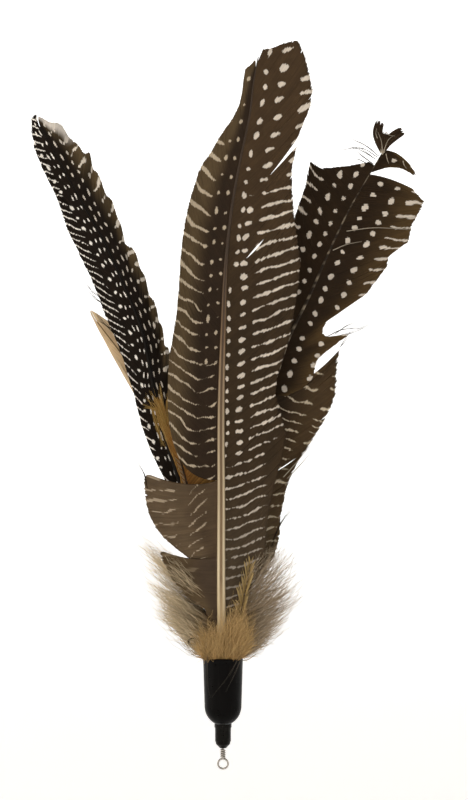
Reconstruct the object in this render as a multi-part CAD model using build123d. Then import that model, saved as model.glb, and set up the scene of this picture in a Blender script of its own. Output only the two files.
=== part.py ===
from build123d import *
import os

# Feather lure for a cat wand: a bunch of feathers glued into an end cap, which hangs from a
# barrel swivel with a wire eye. Millimetres. The origin is the centre of the wire eye, +Z runs
# along the cap to the feather tips, +X across the spread of the bunch and +Y to its back.

# ---- wire eye and barrel swivel -------------------------------------------------------------
EYE_WIRE = 0.6            # diameter of the eye's wire
EYE_OUTER = 3.6           # outer diameter of the eye's loop
WRAP_COUNT = 4            # turns of wire wound round the eye's shank
WRAP_PITCH = 0.65
WRAP_TILT = 12            # degrees, so that the turns read as a winding
WRAP_TO_BARREL = 0.35     # gap between the last turn and the barrel

BARREL_LENGTH = 7.4
BARREL_NOSE_DIAMETER = 1.9
BARREL_SHOULDER_DIAMETER = 4.2
BARREL_DIAMETER = 4.8
BARREL_COLLAR_DIAMETER = 5.2
BARREL_NOSE_HEIGHT = 1.2
BARREL_SHOULDER_HEIGHT = 2.3
BARREL_COLLAR_HEIGHT = 1.2
BARREL_FLOOR = 1.5        # thickness of the nose under the cavity
BARREL_ROOF = 0.9
BARREL_BORE = 3.6         # cavity that holds the two wire heads
HEAD_DIAMETER = 3.0
HEAD_HEIGHT = 0.8
HEAD_PLAY = 0.15          # axial gap between a head and its seat
RUNNING_CLEARANCE = 0.05  # radial gap between a wire and the hole that it turns in

# ---- end cap, glue and anchor ---------------------------------------------------------------
BARREL_TO_CAP = 0.3
CAP_LENGTH = 19.5
CAP_MOUTH_DIAMETER = 12.0
CAP_WAIST_DIAMETER = 11.1
CAP_FLAT_DIAMETER = 6.0
CAP_DOME_HEIGHT = 4.7
CAP_WALL = 1.0
CAP_RIM_FILLET = 0.3
ANCHOR_WIRE = 0.8
ANCHOR_LOOP = 4.0         # outer diameter of the loop that the glue holds
GLUE_CLEARANCE = 0.05
GLUE_RECESS = 0.3         # the glue's top lies this far below the cap's mouth
QUILL_IN_GLUE = 11.0      # length of each quill inside the cap
ROOTS_BORE = 10.0         # the cap bore that the quills' root places are given for

# ---- feathers -------------------------------------------------------------------------------
VANE_THICKNESS = 0.8
VANE_TO_QUILL = 0.15
SHEET_REACH = 30.0        # half width of the curved sheet that a feather's vanes are cut from
PLUME_THICKNESS = 0.5
DOWN_THICKNESS = 1.4
DOWN_SEAT = 0.3           # gap between the down and the cap's rim

eye_ring_radius = (EYE_OUTER - EYE_WIRE) / 2
wrap_start = eye_ring_radius + EYE_WIRE
barrel_bottom = wrap_start + (WRAP_COUNT - 1) * WRAP_PITCH + EYE_WIRE / 2 + WRAP_TO_BARREL
barrel_top = barrel_bottom + BARREL_LENGTH
cap_bottom = barrel_top + BARREL_TO_CAP
mouth = cap_bottom + CAP_LENGTH
bunching = (CAP_MOUTH_DIAMETER - 2 * CAP_WALL) / ROOTS_BORE  # draws the roots together in a narrower cap

parts = {}


def turned(points):
    """A solid of revolution about Z from (radius, height) points."""
    return revolve(Plane.XZ * make_face(Polyline(*points, close=True)), Axis.Z)


def upright(diameter, low, high, x=0.0, y=0.0):
    """A vertical cylinder between two heights."""
    return Pos(x, y, (low + high) / 2) * Cylinder(diameter / 2, high - low)


# ---- wire eye -------------------------------------------------------------------------------
eye_head_low = barrel_bottom + BARREL_FLOOR + HEAD_PLAY
eye = Rot(90, 0, 0) * Torus(eye_ring_radius, EYE_WIRE / 2)
eye += upright(EYE_WIRE, eye_ring_radius, eye_head_low)
for turn in range(WRAP_COUNT):
    place = Pos(0, 0, wrap_start + turn * WRAP_PITCH) * Rot(0, WRAP_TILT, 0)
    eye += place * Torus(EYE_WIRE * 0.9, EYE_WIRE / 2)
eye += upright(HEAD_DIAMETER, eye_head_low, eye_head_low + HEAD_HEIGHT)
parts["swivel_eye"] = eye

# ---- barrel ---------------------------------------------------------------------------------
barrel = turned([
    (0, barrel_bottom),
    (BARREL_NOSE_DIAMETER / 2, barrel_bottom),
    (BARREL_SHOULDER_DIAMETER / 2, barrel_bottom + BARREL_NOSE_HEIGHT),
    (BARREL_DIAMETER / 2, barrel_bottom + BARREL_SHOULDER_HEIGHT),
    (BARREL_DIAMETER / 2, barrel_top - BARREL_COLLAR_HEIGHT),
    (BARREL_COLLAR_DIAMETER / 2, barrel_top - BARREL_COLLAR_HEIGHT),
    (BARREL_COLLAR_DIAMETER / 2, barrel_top),
    (0, barrel_top),
])
barrel -= upright(BARREL_BORE, barrel_bottom + BARREL_FLOOR, barrel_top - BARREL_ROOF)
barrel -= upright(EYE_WIRE + 2 * RUNNING_CLEARANCE, barrel_bottom - 1, barrel_bottom + BARREL_FLOOR + 1)
barrel -= upright(ANCHOR_WIRE + 2 * RUNNING_CLEARANCE, barrel_top - BARREL_ROOF - 1, barrel_top + 1)
parts["swivel_barrel"] = barrel

# ---- anchor: the upper wire, its head in the barrel and its loop in the glue ------------------
cavity_bottom = cap_bottom + CAP_WALL
anchor_ring_radius = (ANCHOR_LOOP - ANCHOR_WIRE) / 2
anchor_loop_height = cavity_bottom + 1 + ANCHOR_LOOP / 2
anchor_head_high = barrel_top - BARREL_ROOF - HEAD_PLAY
anchor = upright(ANCHOR_WIRE, anchor_head_high - HEAD_HEIGHT, anchor_loop_height - anchor_ring_radius)
anchor += upright(HEAD_DIAMETER, anchor_head_high - HEAD_HEIGHT, anchor_head_high)
anchor += Pos(0, 0, anchor_loop_height) * Rot(90, 0, 0) * Torus(anchor_ring_radius, ANCHOR_WIRE / 2)
parts["swivel_anchor"] = anchor


# ---- end cap --------------------------------------------------------------------------------
def cap_outline(inset):
    """The cap's domed body, or with an inset the space inside its wall."""
    flat, waist = CAP_FLAT_DIAMETER / 2 - inset / 2, CAP_WAIST_DIAMETER / 2 - inset
    rim, low, dome = CAP_MOUTH_DIAMETER / 2 - inset, cap_bottom + inset, cap_bottom + CAP_DOME_HEIGHT
    middle = (flat + 0.66 * (waist - flat), low + 0.38 * (dome - low))
    outline = Line((0, low), (flat, low)) + ThreePointArc((flat, low), middle, (waist, dome))
    outline += Polyline((waist, dome), (rim, mouth), (0, mouth), (0, low))
    return revolve(Plane.XZ * make_face(outline), Axis.Z)


cap = cap_outline(0) - cap_outline(CAP_WALL)
cap -= upright(ANCHOR_WIRE + 2 * GLUE_CLEARANCE, cap_bottom - 1, cavity_bottom + 1)
rim_edges = cap.edges().filter_by(GeomType.CIRCLE).sort_by(Axis.Z)[-2:]
parts["end_cap"] = fillet(rim_edges, CAP_RIM_FILLET)


# ---- feathers -------------------------------------------------------------------------------
class Feather:
    """A quill and the gently curved sheet that its vanes lie in.

    shaft: (x, height above the cap's mouth, diameter) from the mouth to the tip. The sheet
    leaves the mouth at a depth in Y, leans back by lean, is rolled about the feather's chord by
    roll and bowed by bow at SHEET_REACH from that chord."""

    def __init__(self, shaft, depth, lean, roll, bow):
        (x_low, low, root_diameter), (x_high, high, _) = shaft[0], shaft[-1]
        x_low *= bunching
        self.shaft = [(x_low, low, root_diameter)] + shaft[1:]
        self.root_depth, self.lean, self.roll, self.bow = depth * bunching, lean, roll, bow
        self.slope = (x_high - x_low) / (high - low)

    def depth(self, x, height):
        """Where the sheet lies in Y."""
        off = x - self.shaft[0][0] - self.slope * height
        return self.root_depth + self.lean * height + self.roll * off + self.bow * (off / SHEET_REACH) ** 2

    def at(self, height):
        """The shaft's x and diameter at a height."""
        for (x0, h0, d0), (x1, h1, d1) in zip(self.shaft, self.shaft[1:]):
            if height <= h1:
                break
        part = (height - h0) / (h1 - h0)
        return x0 + part * (x1 - x0), d0 + part * (d1 - d0)

    def quill(self):
        """The quill: a straight root in the glue, then a taper through the shaft's stations."""
        x, _, diameter = self.shaft[0]
        root = upright(diameter, mouth - QUILL_IN_GLUE, mouth, x, self.root_depth)
        rings = [
            Pos(x, self.depth(x, height), mouth + height) * Circle(diameter / 2)
            for x, height, diameter in self.shaft
        ]
        return root + loft(rings, ruled=True)

    def socket(self):
        """The hole that the quill's root takes up in the glue."""
        x, _, diameter = self.shaft[0]
        wide = diameter + 2 * GLUE_CLEARANCE
        return upright(wide, mouth - QUILL_IN_GLUE - GLUE_CLEARANCE, mouth + 1, x, self.root_depth)

    def sheet(self, outline, thickness):
        """The part of the feather's curved sheet inside an (x, height) outline."""
        low = min(height for _, height in outline) - 1
        high = max(height for _, height in outline) + 1
        back, front = thickness / 2, -thickness / 2
        left = -self.roll * SHEET_REACH + self.bow
        right = self.roll * SHEET_REACH + self.bow
        section = ThreePointArc((-SHEET_REACH, left + back), (0, back), (SHEET_REACH, right + back))
        section += Line((SHEET_REACH, right + back), (SHEET_REACH, right + front))
        section += ThreePointArc((SHEET_REACH, right + front), (0, front), (-SHEET_REACH, left + front))
        section += Line((-SHEET_REACH, left + front), (-SHEET_REACH, left + back))
        x = self.shaft[0][0] + self.slope * low
        start = Pos(x, self.root_depth + self.lean * low, mouth + low) * make_face(section)
        along = Vector(self.slope, self.lean, 1)
        curved = extrude(start, amount=(high - low) * along.length, dir=along.normalized())
        flat = make_face(Polyline(*[(x, mouth + height) for x, height in outline], close=True))
        return curved & extrude(Plane.XZ * flat, amount=100, both=True)

    def vane(self, side, low, high, edge):
        """One stretch of vane: side is -1 or 1, and edge its outer points from low to high."""
        heights = [low] + [h for _, h, _ in self.shaft if low < h < high] + [high]
        root = []
        for height in heights:
            x, diameter = self.at(height)
            root.append((x + side * (diameter / 2 + VANE_TO_QUILL), height))
        return self.sheet(root + edge[::-1], VANE_THICKNESS)


# The centre feather stands in front with its hollow side forward.
centre = Feather(
    [(-0.2, 0, 2.7), (-0.5, 17, 2.6), (-0.5, 47, 2.4), (-0.5, 77, 2.1), (0.2, 101, 1.6), (1, 119, 1.1),
     (3, 136.5, 0.8), (5.7, 151, 0.6), (8.1, 162.5, 0.5), (9.2, 172, 0.4), (10.5, 179, 0.3)],
    depth=-2.5, lean=-0.03, roll=0, bow=-5,
)
# The left and right feathers lean back behind it with their rounded side forward.
left = Feather(
    [(-2, 0, 2.2), (-4, 20, 2.1), (-7.5, 35, 1.9), (-12.5, 51, 1.7), (-16, 61.5, 1.5), (-19, 71, 1.4),
     (-21.5, 83.5, 1.2), (-24.5, 98, 1.0), (-30.5, 113, 0.8), (-35.5, 124, 0.7), (-43, 137.5, 0.55),
     (-51, 152, 0.4), (-55.5, 160, 0.3)],
    depth=1.0, lean=0.04, roll=0.15, bow=5,
)
right = Feather(
    [(1.5, 0, 2.2), (2.5, 29, 2.0), (5, 47, 1.8), (8, 65, 1.6), (11.5, 75.5, 1.4), (15.5, 83.5, 1.3),
     (19.5, 95, 1.1), (26, 108.5, 0.9), (32, 122, 0.7), (38.5, 135.5, 0.55), (44, 145, 0.4),
     (48.5, 152.5, 0.3)],
    depth=0.5, lean=0.05, roll=0.1, bow=5,
)
# The brown feather is the shortest of the four and leans furthest back.
brown = Feather(
    [(-0.8, 0, 1.6), (-2.5, 23, 1.5), (-8, 47, 1.3), (-14.5, 65, 1.0), (-22.5, 78.5, 0.8),
     (-30.5, 90.5, 0.5), (-38.5, 101, 0.35)],
    depth=3.3, lean=0.10, roll=0, bow=4,
)
# The amber feather is short and stands between the left feather and the centre one.
amber = Feather(
    [(-2.6, 0, 1.0), (-3.8, 17, 1.0), (-6, 30, 0.9), (-9, 45, 0.8), (-13, 60, 0.6), (-16, 70, 0.4),
     (-18, 77, 0.3)],
    depth=-1.3, lean=0.005, roll=0, bow=4,
)
# A small golden plume in front of the centre feather's right foot.
plume = Feather([(2.4, 0, 0.8), (6, 17, 0.6), (7.5, 24.5, 0.4), (8.5, 30.5, 0.3)], -3.4, -0.06, 0, -2)

parts["centre_quill"] = centre.quill()
parts["centre_vane_left_upper"] = centre.vane(-1, 54, 175.5, [
    (-8, 55.5), (-12, 59), (-14.5, 65), (-16, 74), (-16, 88), (-13.5, 103.5), (-12.5, 121),
    (-10, 135.5), (-7, 145.5), (-1, 155), (4, 163), (5.5, 167), (6, 173.5), (7, 175),
])
parts["centre_vane_left_middle"] = centre.vane(-1, 31.5, 53, [
    (-5.5, 30.5), (-10, 31), (-14.5, 33.5), (-18, 36.5), (-20.5, 39.5), (-22.5, 44), (-23.5, 52),
    (-23, 54.5), (-21.5, 54), (-18, 52), (-13, 51.5), (-8.5, 51.5),
])
parts["centre_vane_left_base"] = centre.vane(-1, 15.5, 30, [
    (-7, 15.5), (-10.5, 17.5), (-14, 22), (-17, 26.5), (-19, 31.5), (-17, 30.5), (-13.5, 29),
    (-10, 29), (-7, 29.5),
])
parts["centre_vane_right"] = centre.vane(1, 15.5, 178, [
    (6.5, 18.5), (10.5, 23.5), (12.5, 29), (13, 35), (13.5, 41), (15.5, 51.5), (18, 60.5),
    (19, 66.5), (17, 73.5), (15.5, 78.5), (16, 83.5), (20, 95.5), (22.5, 110), (23, 117.5),
    (21, 132.5), (20.5, 146), (22.5, 154.5), (26, 163), (26.5, 167.5), (25, 175.5), (24, 179.5),
    (22, 184), (19, 182.5), (14.5, 180.5), (11.5, 178.8),
])

parts["left_quill"] = left.quill()
parts["left_vane_outer"] = left.vane(-1, 41, 160, [
    (-11.5, 42), (-17.5, 53), (-22, 61.5), (-25, 70.5), (-27.5, 82), (-30.5, 90.5), (-36.5, 104.5),
    (-42, 117.5), (-47.5, 129), (-50, 137.5), (-53.5, 145), (-56.5, 151.5), (-58, 158), (-57.5, 162.5),
])
parts["left_vane_inner"] = left.vane(1, 79, 160, [
    (-15.5, 81), (-15.5, 88.5), (-18, 95), (-20, 103.5), (-23.5, 111.5), (-26.5, 120.5), (-31, 126),
    (-32, 132.5), (-35.5, 139.5), (-39.5, 147), (-41, 152), (-44, 153), (-49.5, 159.5),
    (-51.5, 160.5), (-54.5, 161),
])

parts["right_quill"] = right.quill()
parts["right_vane_inner"] = right.vane(-1, 42, 148, [
    (1, 48), (0, 56), (0.5, 66), (4, 79), (9, 91), (14, 103), (18.5, 114.5), (20, 125), (22, 133.5),
    (25, 142), (26.5, 149.5), (30.5, 146), (38, 147.5), (43.5, 148),
])
parts["right_vane_outer"] = right.vane(1, 82.5, 145.5, [
    (20, 82.5), (26.5, 84.5), (27, 86.5), (28, 89), (32.5, 92.5), (38.5, 97), (31, 96), (29.5, 98),
    (30, 100.5), (35, 103.5), (43.5, 109), (50, 118), (50, 120.5), (56.5, 125), (57.5, 130.5),
    (59.5, 134), (61, 137), (57.5, 138.5), (51.5, 144), (47.5, 145.3),
])
parts["right_vane_base"] = right.vane(1, 25, 78.5, [
    (13.5, 24.5), (17, 32), (17.5, 41), (19, 49.5), (22.5, 58), (26.5, 63.5), (31, 71), (34, 76.5),
    (34.5, 87.5), (35.5, 92.5), (34, 91), (30.5, 86.5), (27, 83), (23, 80.5), (17, 79),
])
parts["right_tip_tuft"] = right.sheet([
    (48, 152.8), (46.5, 155.5), (46, 158.5), (47.5, 162), (48.5, 161.5), (49, 158.5), (50.5, 158),
    (53.5, 159.5), (55, 159), (50, 155), (49.2, 152.8),
], VANE_THICKNESS)
parts["right_tip_barbs"] = right.sheet([
    (45.5, 146.5), (49, 146.8), (53.5, 147.2), (59, 145.4), (59, 146.6), (56.5, 148.2), (54, 150.6),
    (50.5, 152), (48.3, 151.4),
], VANE_THICKNESS)

parts["brown_quill"] = brown.quill()
parts["brown_vane_left"] = brown.vane(-1, 30, 101, [
    (-6, 31), (-9, 38), (-13, 48), (-17, 60), (-21.5, 70), (-25.5, 77), (-29, 84), (-33.5, 91.5),
    (-36.5, 96), (-39, 100), (-41, 104),
])
parts["brown_vane_right"] = brown.vane(1, 30, 101, [
    (1, 30), (0, 45), (-1, 57), (-6, 66), (-12, 73), (-18, 81), (-27, 92), (-36, 102), (-40, 104),
])

parts["amber_quill"] = amber.quill()
parts["amber_vane_left"] = amber.vane(-1, 38, 76, [
    (-10, 39), (-12.6, 45), (-12.8, 54), (-14, 60), (-17.5, 66), (-20, 72), (-21.3, 77), (-18.6, 78.5),
])
parts["amber_vane_right"] = amber.vane(1, 38, 76, [
    (-4, 38), (-2, 45), (-2, 52), (-4, 60), (-7, 68), (-11, 75), (-17, 78),
])

plume_blade = plume.sheet([
    (3, 4), (5, 8), (8, 15), (9.5, 22), (9.5, 28), (8.5, 30.4), (6.5, 26), (4.5, 19), (3, 12), (2.5, 6),
], PLUME_THICKNESS)
parts["golden_plume"] = plume.quill() + plume_blade


# ---- down: the loose fluff at the feathers' feet ----------------------------------------------
def down(depth, lean, bow, outline):
    """A tuft of down that fans out from the cap's rim and bows round the bunch."""
    tuft = Feather([(0, 0, 1), (0, 40, 1)], depth, lean, 0, bow)
    return tuft.sheet(outline, DOWN_THICKNESS)


parts["down_left"] = down(-1.2, 0, 1, [
    (-4.5, DOWN_SEAT), (-10, 5), (-14.5, 8.5), (-18.5, 12.5), (-20, 18.5), (-21.5, 26), (-22, 32.5),
    (-23, 37), (-19.5, 31.5), (-14.5, 24.5), (-9.5, 17), (-5.5, 9.5),
])
parts["down_right"] = down(-1.2, 0, 1, [
    (4.5, DOWN_SEAT), (11.5, 5), (16.5, 9.5), (19.5, 14.5), (21, 20), (22, 27.5), (22.5, 32),
    (18.5, 29), (14, 24.5), (9.5, 18.5), (6.5, 12.5),
])
parts["down_front"] = down(-6.2, -0.03, 4, [
    (-2.5, DOWN_SEAT), (-7.5, 6.5), (-7, 12.5), (-3.5, 17), (1, 19.5), (5, 21.5), (8, 17), (8, 9.5),
    (2.5, DOWN_SEAT),
])
parts["down_back"] = down(5.4, 0.2, -4, [
    (-2.5, DOWN_SEAT), (-12, 8), (-17, 20), (-18, 30), (-12, 36), (-5, 33), (2, 37), (9, 33),
    (15, 35), (17, 24), (12, 9), (2.5, DOWN_SEAT),
])

# ---- glue: what is left of the cap's cavity round the quills and the anchor --------------------
glue = upright(CAP_MOUTH_DIAMETER, cap_bottom, mouth - GLUE_RECESS) & cap_outline(CAP_WALL + GLUE_CLEARANCE)
glue -= upright(ANCHOR_WIRE + 2 * GLUE_CLEARANCE, cap_bottom, anchor_loop_height - anchor_ring_radius)
glue -= Pos(0, 0, anchor_loop_height) * Rot(90, 0, 0) * Torus(
    anchor_ring_radius, ANCHOR_WIRE / 2 + GLUE_CLEARANCE
)
for feather in (centre, left, right, brown, amber, plume):
    glue -= feather.socket()
parts["glue_plug"] = glue

os.makedirs("parts", exist_ok=True)
for name, shape in parts.items():
    export_step(shape, f"parts/{name}.step")
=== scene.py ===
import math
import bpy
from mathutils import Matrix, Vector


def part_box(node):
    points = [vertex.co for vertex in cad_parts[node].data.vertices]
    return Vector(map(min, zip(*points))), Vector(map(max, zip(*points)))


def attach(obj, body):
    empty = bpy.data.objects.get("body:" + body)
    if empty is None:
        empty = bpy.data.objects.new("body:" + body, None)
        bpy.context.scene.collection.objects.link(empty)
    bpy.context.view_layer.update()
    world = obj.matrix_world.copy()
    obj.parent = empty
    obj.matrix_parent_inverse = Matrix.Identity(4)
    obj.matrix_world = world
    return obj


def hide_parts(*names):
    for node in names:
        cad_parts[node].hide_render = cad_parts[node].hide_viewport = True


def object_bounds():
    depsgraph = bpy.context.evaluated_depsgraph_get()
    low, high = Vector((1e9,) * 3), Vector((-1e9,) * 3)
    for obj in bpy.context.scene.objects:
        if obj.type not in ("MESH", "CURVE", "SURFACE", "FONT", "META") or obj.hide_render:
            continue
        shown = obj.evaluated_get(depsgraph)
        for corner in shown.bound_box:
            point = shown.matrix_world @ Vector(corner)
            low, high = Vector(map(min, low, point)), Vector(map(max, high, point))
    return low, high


bl_info = {
    "name": "Feather Lure",
    "version": (1, 0, 0),
    "blender": (4, 5, 0),
    "location": "View3D > Sidebar > Lure",
    "description": "Looks of a feather lure for a cat wand: barbed vanes, quills, down, cap and swivel",
    "category": "Object",
}

import bpy
import numpy as np
from bpy.props import FloatProperty, FloatVectorProperty, IntProperty, PointerProperty
from mathutils import Vector

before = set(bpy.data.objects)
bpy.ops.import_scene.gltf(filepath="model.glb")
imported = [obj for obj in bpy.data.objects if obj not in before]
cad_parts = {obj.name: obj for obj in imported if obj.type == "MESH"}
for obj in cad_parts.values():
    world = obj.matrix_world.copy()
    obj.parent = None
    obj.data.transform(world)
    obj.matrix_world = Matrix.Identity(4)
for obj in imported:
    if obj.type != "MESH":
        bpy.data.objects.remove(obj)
CAD_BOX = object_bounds()

MM = 0.001
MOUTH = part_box("end_cap")[1].z / MM     # height of the cap's mouth above the wire eye
SHEET_REACH = 30.0                      # the sheets' bow is measured this far from their chord


# ---- small helpers ----------------------------------------------------------------------------
def srgb(code):
    """A linear colour from an sRGB hex value."""
    channels = [int(code[i:i + 2], 16) / 255 for i in (1, 3, 5)]
    return [c / 12.92 if c <= 0.04045 else ((c + 0.055) / 1.055) ** 2.4 for c in channels] + [1.0]


def through(xs, ys, x):
    """A smooth curve through points, read at x."""
    xs, ys = np.asarray(xs, float), np.asarray(ys, float)
    slopes = np.gradient(ys, xs)
    i = np.clip(np.searchsorted(xs, x) - 1, 0, len(xs) - 2)
    step = xs[i + 1] - xs[i]
    t = np.clip((x - xs[i]) / step, 0, 1)
    before = ys[i] * (1 + 2 * t) + slopes[i] * step * t
    after = ys[i + 1] * (3 - 2 * t) - slopes[i + 1] * step * (1 - t)
    return before * (1 - t) ** 2 + after * t ** 2


def softened(values, width):
    """Values with their sharp corners rounded over a few neighbours."""
    if width < 2:
        return values
    kernel = np.hanning(width + 2)[1:-1]
    padded = np.concatenate([np.repeat(values[:1], width), values, np.repeat(values[-1:], width)])
    return np.convolve(padded, kernel / kernel.sum(), "same")[width:-width]


def drift(rng, count, scale):
    """Smooth random values from -1 to 1 that change over about scale steps."""
    knots = rng.uniform(-1, 1, int(count / scale) + 4)
    return through(np.arange(len(knots)), knots, np.arange(count) / scale + 1)


def settings():
    return bpy.context.scene.lure


# ---- nodes ------------------------------------------------------------------------------------
class Value:
    """What a node gives out. Arithmetic on it adds math nodes, and [name] is another output."""

    def __init__(self, tree, node, socket):
        self.tree, self.node, self.socket = tree, node, socket

    def __getitem__(self, name):
        return Value(self.tree, self.node, self.node.outputs[name])

    def worked(self, operation, *others):
        return add(self.tree, "ShaderNodeMath", self, *others, operation=operation)

    def __add__(self, other):
        return self.worked("ADD", other)

    def __sub__(self, other):
        return self.worked("SUBTRACT", other)

    def __mul__(self, other):
        return self.worked("MULTIPLY", other)

    def __truediv__(self, other):
        return self.worked("DIVIDE", other)

    def __abs__(self):
        return self.worked("ABSOLUTE")


def add(tree, kind, *values, **named):
    """Adds a node with its settings and links.

    values: its inputs in order. named: its own settings, and its inputs by name with _ for a space.
    An input takes a plain value, a colour or what another node gives."""
    node = tree.nodes.new(kind)
    for name in [n for n in named if n in node.bl_rna.properties]:
        setattr(node, name, named.pop(name))
    sockets = [s for s in node.inputs if s.enabled]
    by_name = {s.name.replace(" ", "_"): s for s in reversed(sockets)}
    for socket, value in [*zip(sockets, values), *((by_name[n], v) for n, v in named.items())]:
        if isinstance(value, Value):
            tree.links.new(value.socket, socket)
        elif socket.type == "RGBA":
            socket.default_value = srgb(value) if isinstance(value, str) else (*value, 1.0)
        else:
            socket.default_value = value
    given = [s for s in node.outputs if s.enabled]
    return Value(tree, node, given[0] if given else None)


# ---- feathers ---------------------------------------------------------------------------------
class Feather:
    """A shaft and the curved sheet that its vanes lie in, with the design's own sizes.

    shaft: (x, height above the cap's mouth, diameter) in millimetres from the mouth to the tip."""

    def __init__(self, shaft, depth, lean, roll, bow):
        table = np.array(shaft, float)
        self.root_x, self.top = table[0, 0], table[-1, 1]
        self.slope = (table[-1, 0] - table[0, 0]) / (table[-1, 1] - table[0, 1])
        self.root_depth, self.lean, self.roll, self.bow = depth, lean, roll, bow
        self.height = np.linspace(0, self.top, 500)
        self.x = through(table[:, 1], table[:, 0], self.height)
        self.diameter = np.interp(self.height, table[:, 1], table[:, 2])
        self.run = np.concatenate([[0], np.cumsum(np.hypot(np.diff(self.x), np.diff(self.height)))])
        self.heading = np.arctan2(np.gradient(self.x), np.gradient(self.height))

    def at(self, height):
        """The shaft's x, radius and heading from the vertical."""
        return [np.interp(height, self.height, v) for v in (self.x, self.diameter / 2, self.heading)]

    def depth(self, x, height):
        off = x - self.root_x - self.slope * height
        return self.root_depth + self.lean * height + self.roll * off + self.bow * (off / SHEET_REACH) ** 2

    def facing(self, x, height):
        """The sheet's unit normal on its front side."""
        off = x - self.root_x - self.slope * height
        across = self.roll + 2 * self.bow * off / SHEET_REACH ** 2
        normal = np.stack([across, -np.ones_like(across), self.lean - self.slope * across], -1)
        return normal / np.linalg.norm(normal, axis=-1, keepdims=True)

    def measured(self, points):
        """How far along the shaft and out from it each (x, height) point lies."""
        line, heading, run = np.stack([self.x, self.height], -1)[::2], self.heading[::2], self.run[::2]
        along, across = [], []
        for row in points:
            nearest = np.linalg.norm(row[:, None, :] - line[None], axis=-1).argmin(1)
            sine, cosine = np.sin(heading[nearest]), np.cos(heading[nearest])
            off = row - line[nearest]
            along.append(run[nearest] + off[:, 0] * sine + off[:, 1] * cosine)
            across.append(np.abs(off[:, 0] * cosine - off[:, 1] * sine))
        return np.array(along), np.array(across)


CENTRE = Feather(
    [(-0.2, 0, 2.7), (-0.5, 17, 2.6), (-0.5, 47, 2.4), (-0.5, 77, 2.1), (0.2, 101, 1.6), (1, 119, 1.1),
     (3, 136.5, 0.8), (5.7, 151, 0.6), (8.1, 162.5, 0.5), (9.2, 172, 0.4), (10.5, 179, 0.3)],
    depth=-2.5, lean=-0.03, roll=0, bow=-5,
)
LEFT = Feather(
    [(-2, 0, 2.2), (-4, 20, 2.1), (-7.5, 35, 1.9), (-12.5, 51, 1.7), (-16, 61.5, 1.5), (-19, 71, 1.4),
     (-21.5, 83.5, 1.2), (-24.5, 98, 1.0), (-30.5, 113, 0.8), (-35.5, 124, 0.7), (-43, 137.5, 0.55),
     (-51, 152, 0.4), (-55.5, 160, 0.3)],
    depth=1.0, lean=0.04, roll=0.15, bow=5,
)
RIGHT = Feather(
    [(1.5, 0, 2.2), (2.5, 29, 2.0), (5, 47, 1.8), (8, 65, 1.6), (11.5, 75.5, 1.4), (15.5, 83.5, 1.3),
     (19.5, 95, 1.1), (26, 108.5, 0.9), (32, 122, 0.7), (38.5, 135.5, 0.55), (44, 145, 0.4),
     (48.5, 152.5, 0.3)],
    depth=0.5, lean=0.05, roll=0.1, bow=5,
)
BROWN = Feather(
    [(-0.8, 0, 1.6), (-2.5, 23, 1.5), (-8, 47, 1.3), (-14.5, 65, 1.0), (-22.5, 78.5, 0.8),
     (-30.5, 90.5, 0.5), (-38.5, 101, 0.35)],
    depth=3.3, lean=0.10, roll=0, bow=4,
)
AMBER = Feather(
    [(-2.6, 0, 1.0), (-3.8, 17, 1.0), (-6, 30, 0.9), (-9, 45, 0.8), (-13, 60, 0.6), (-16, 70, 0.4),
     (-18, 77, 0.3)],
    depth=-1.3, lean=0.005, roll=0, bow=4,
)
PLUME = Feather([(2.4, 0, 0.8), (6, 17, 0.6), (7.5, 24.5, 0.4), (8.5, 30.5, 0.3)], -3.4, -0.06, 0, -2)


# ---- strands: every barb, down strand and hair is one swept thread -----------------------------
def sweep_tree():
    """Geometry nodes that sweep a flattened section along each thread of a mesh of edges."""
    tree = bpy.data.node_groups.get("Swept threads")
    if tree:
        return tree
    tree = bpy.data.node_groups.new("Swept threads", "GeometryNodeTree")
    tree.interface.new_socket("Geometry", in_out="OUTPUT", socket_type="NodeSocketGeometry")
    for name, kind in (("Geometry", "Geometry"), ("Width", "Float"), ("Thickness", "Float"), ("Sides", "Int"),
                       ("Material", "Material")):
        tree.interface.new_socket(name, in_out="INPUT", socket_type="NodeSocket" + kind)
    wanted = add(tree, "NodeGroupInput")
    line = add(tree, "GeometryNodeMeshToCurve", wanted["Geometry"])
    facing = add(tree, "GeometryNodeInputNamedAttribute", "facing", data_type="FLOAT_VECTOR")
    turned = add(tree, "GeometryNodeSetCurveNormal", Curve=line, Normal=facing, mode="FREE")
    ring = add(tree, "GeometryNodeCurvePrimitiveCircle", wanted["Sides"], mode="RADIUS", Radius=0.5)
    size = add(tree, "ShaderNodeCombineXYZ", wanted["Thickness"], wanted["Width"])
    section = add(tree, "GeometryNodeTransform", Geometry=ring, Scale=size)
    girth = add(tree, "GeometryNodeInputNamedAttribute", "girth", data_type="FLOAT")
    solid = add(tree, "GeometryNodeCurveToMesh", turned, section, Scale=girth, Fill_Caps=True)
    smooth = add(tree, "GeometryNodeSetShadeSmooth", Geometry=solid, Shade_Smooth=True)
    real = add(tree, "GeometryNodeRealizeInstances", Geometry=smooth)
    finished = add(tree, "GeometryNodeSetMaterial", Geometry=real, Material=wanted["Material"])
    add(tree, "NodeGroupOutput", finished)
    return tree


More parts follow.
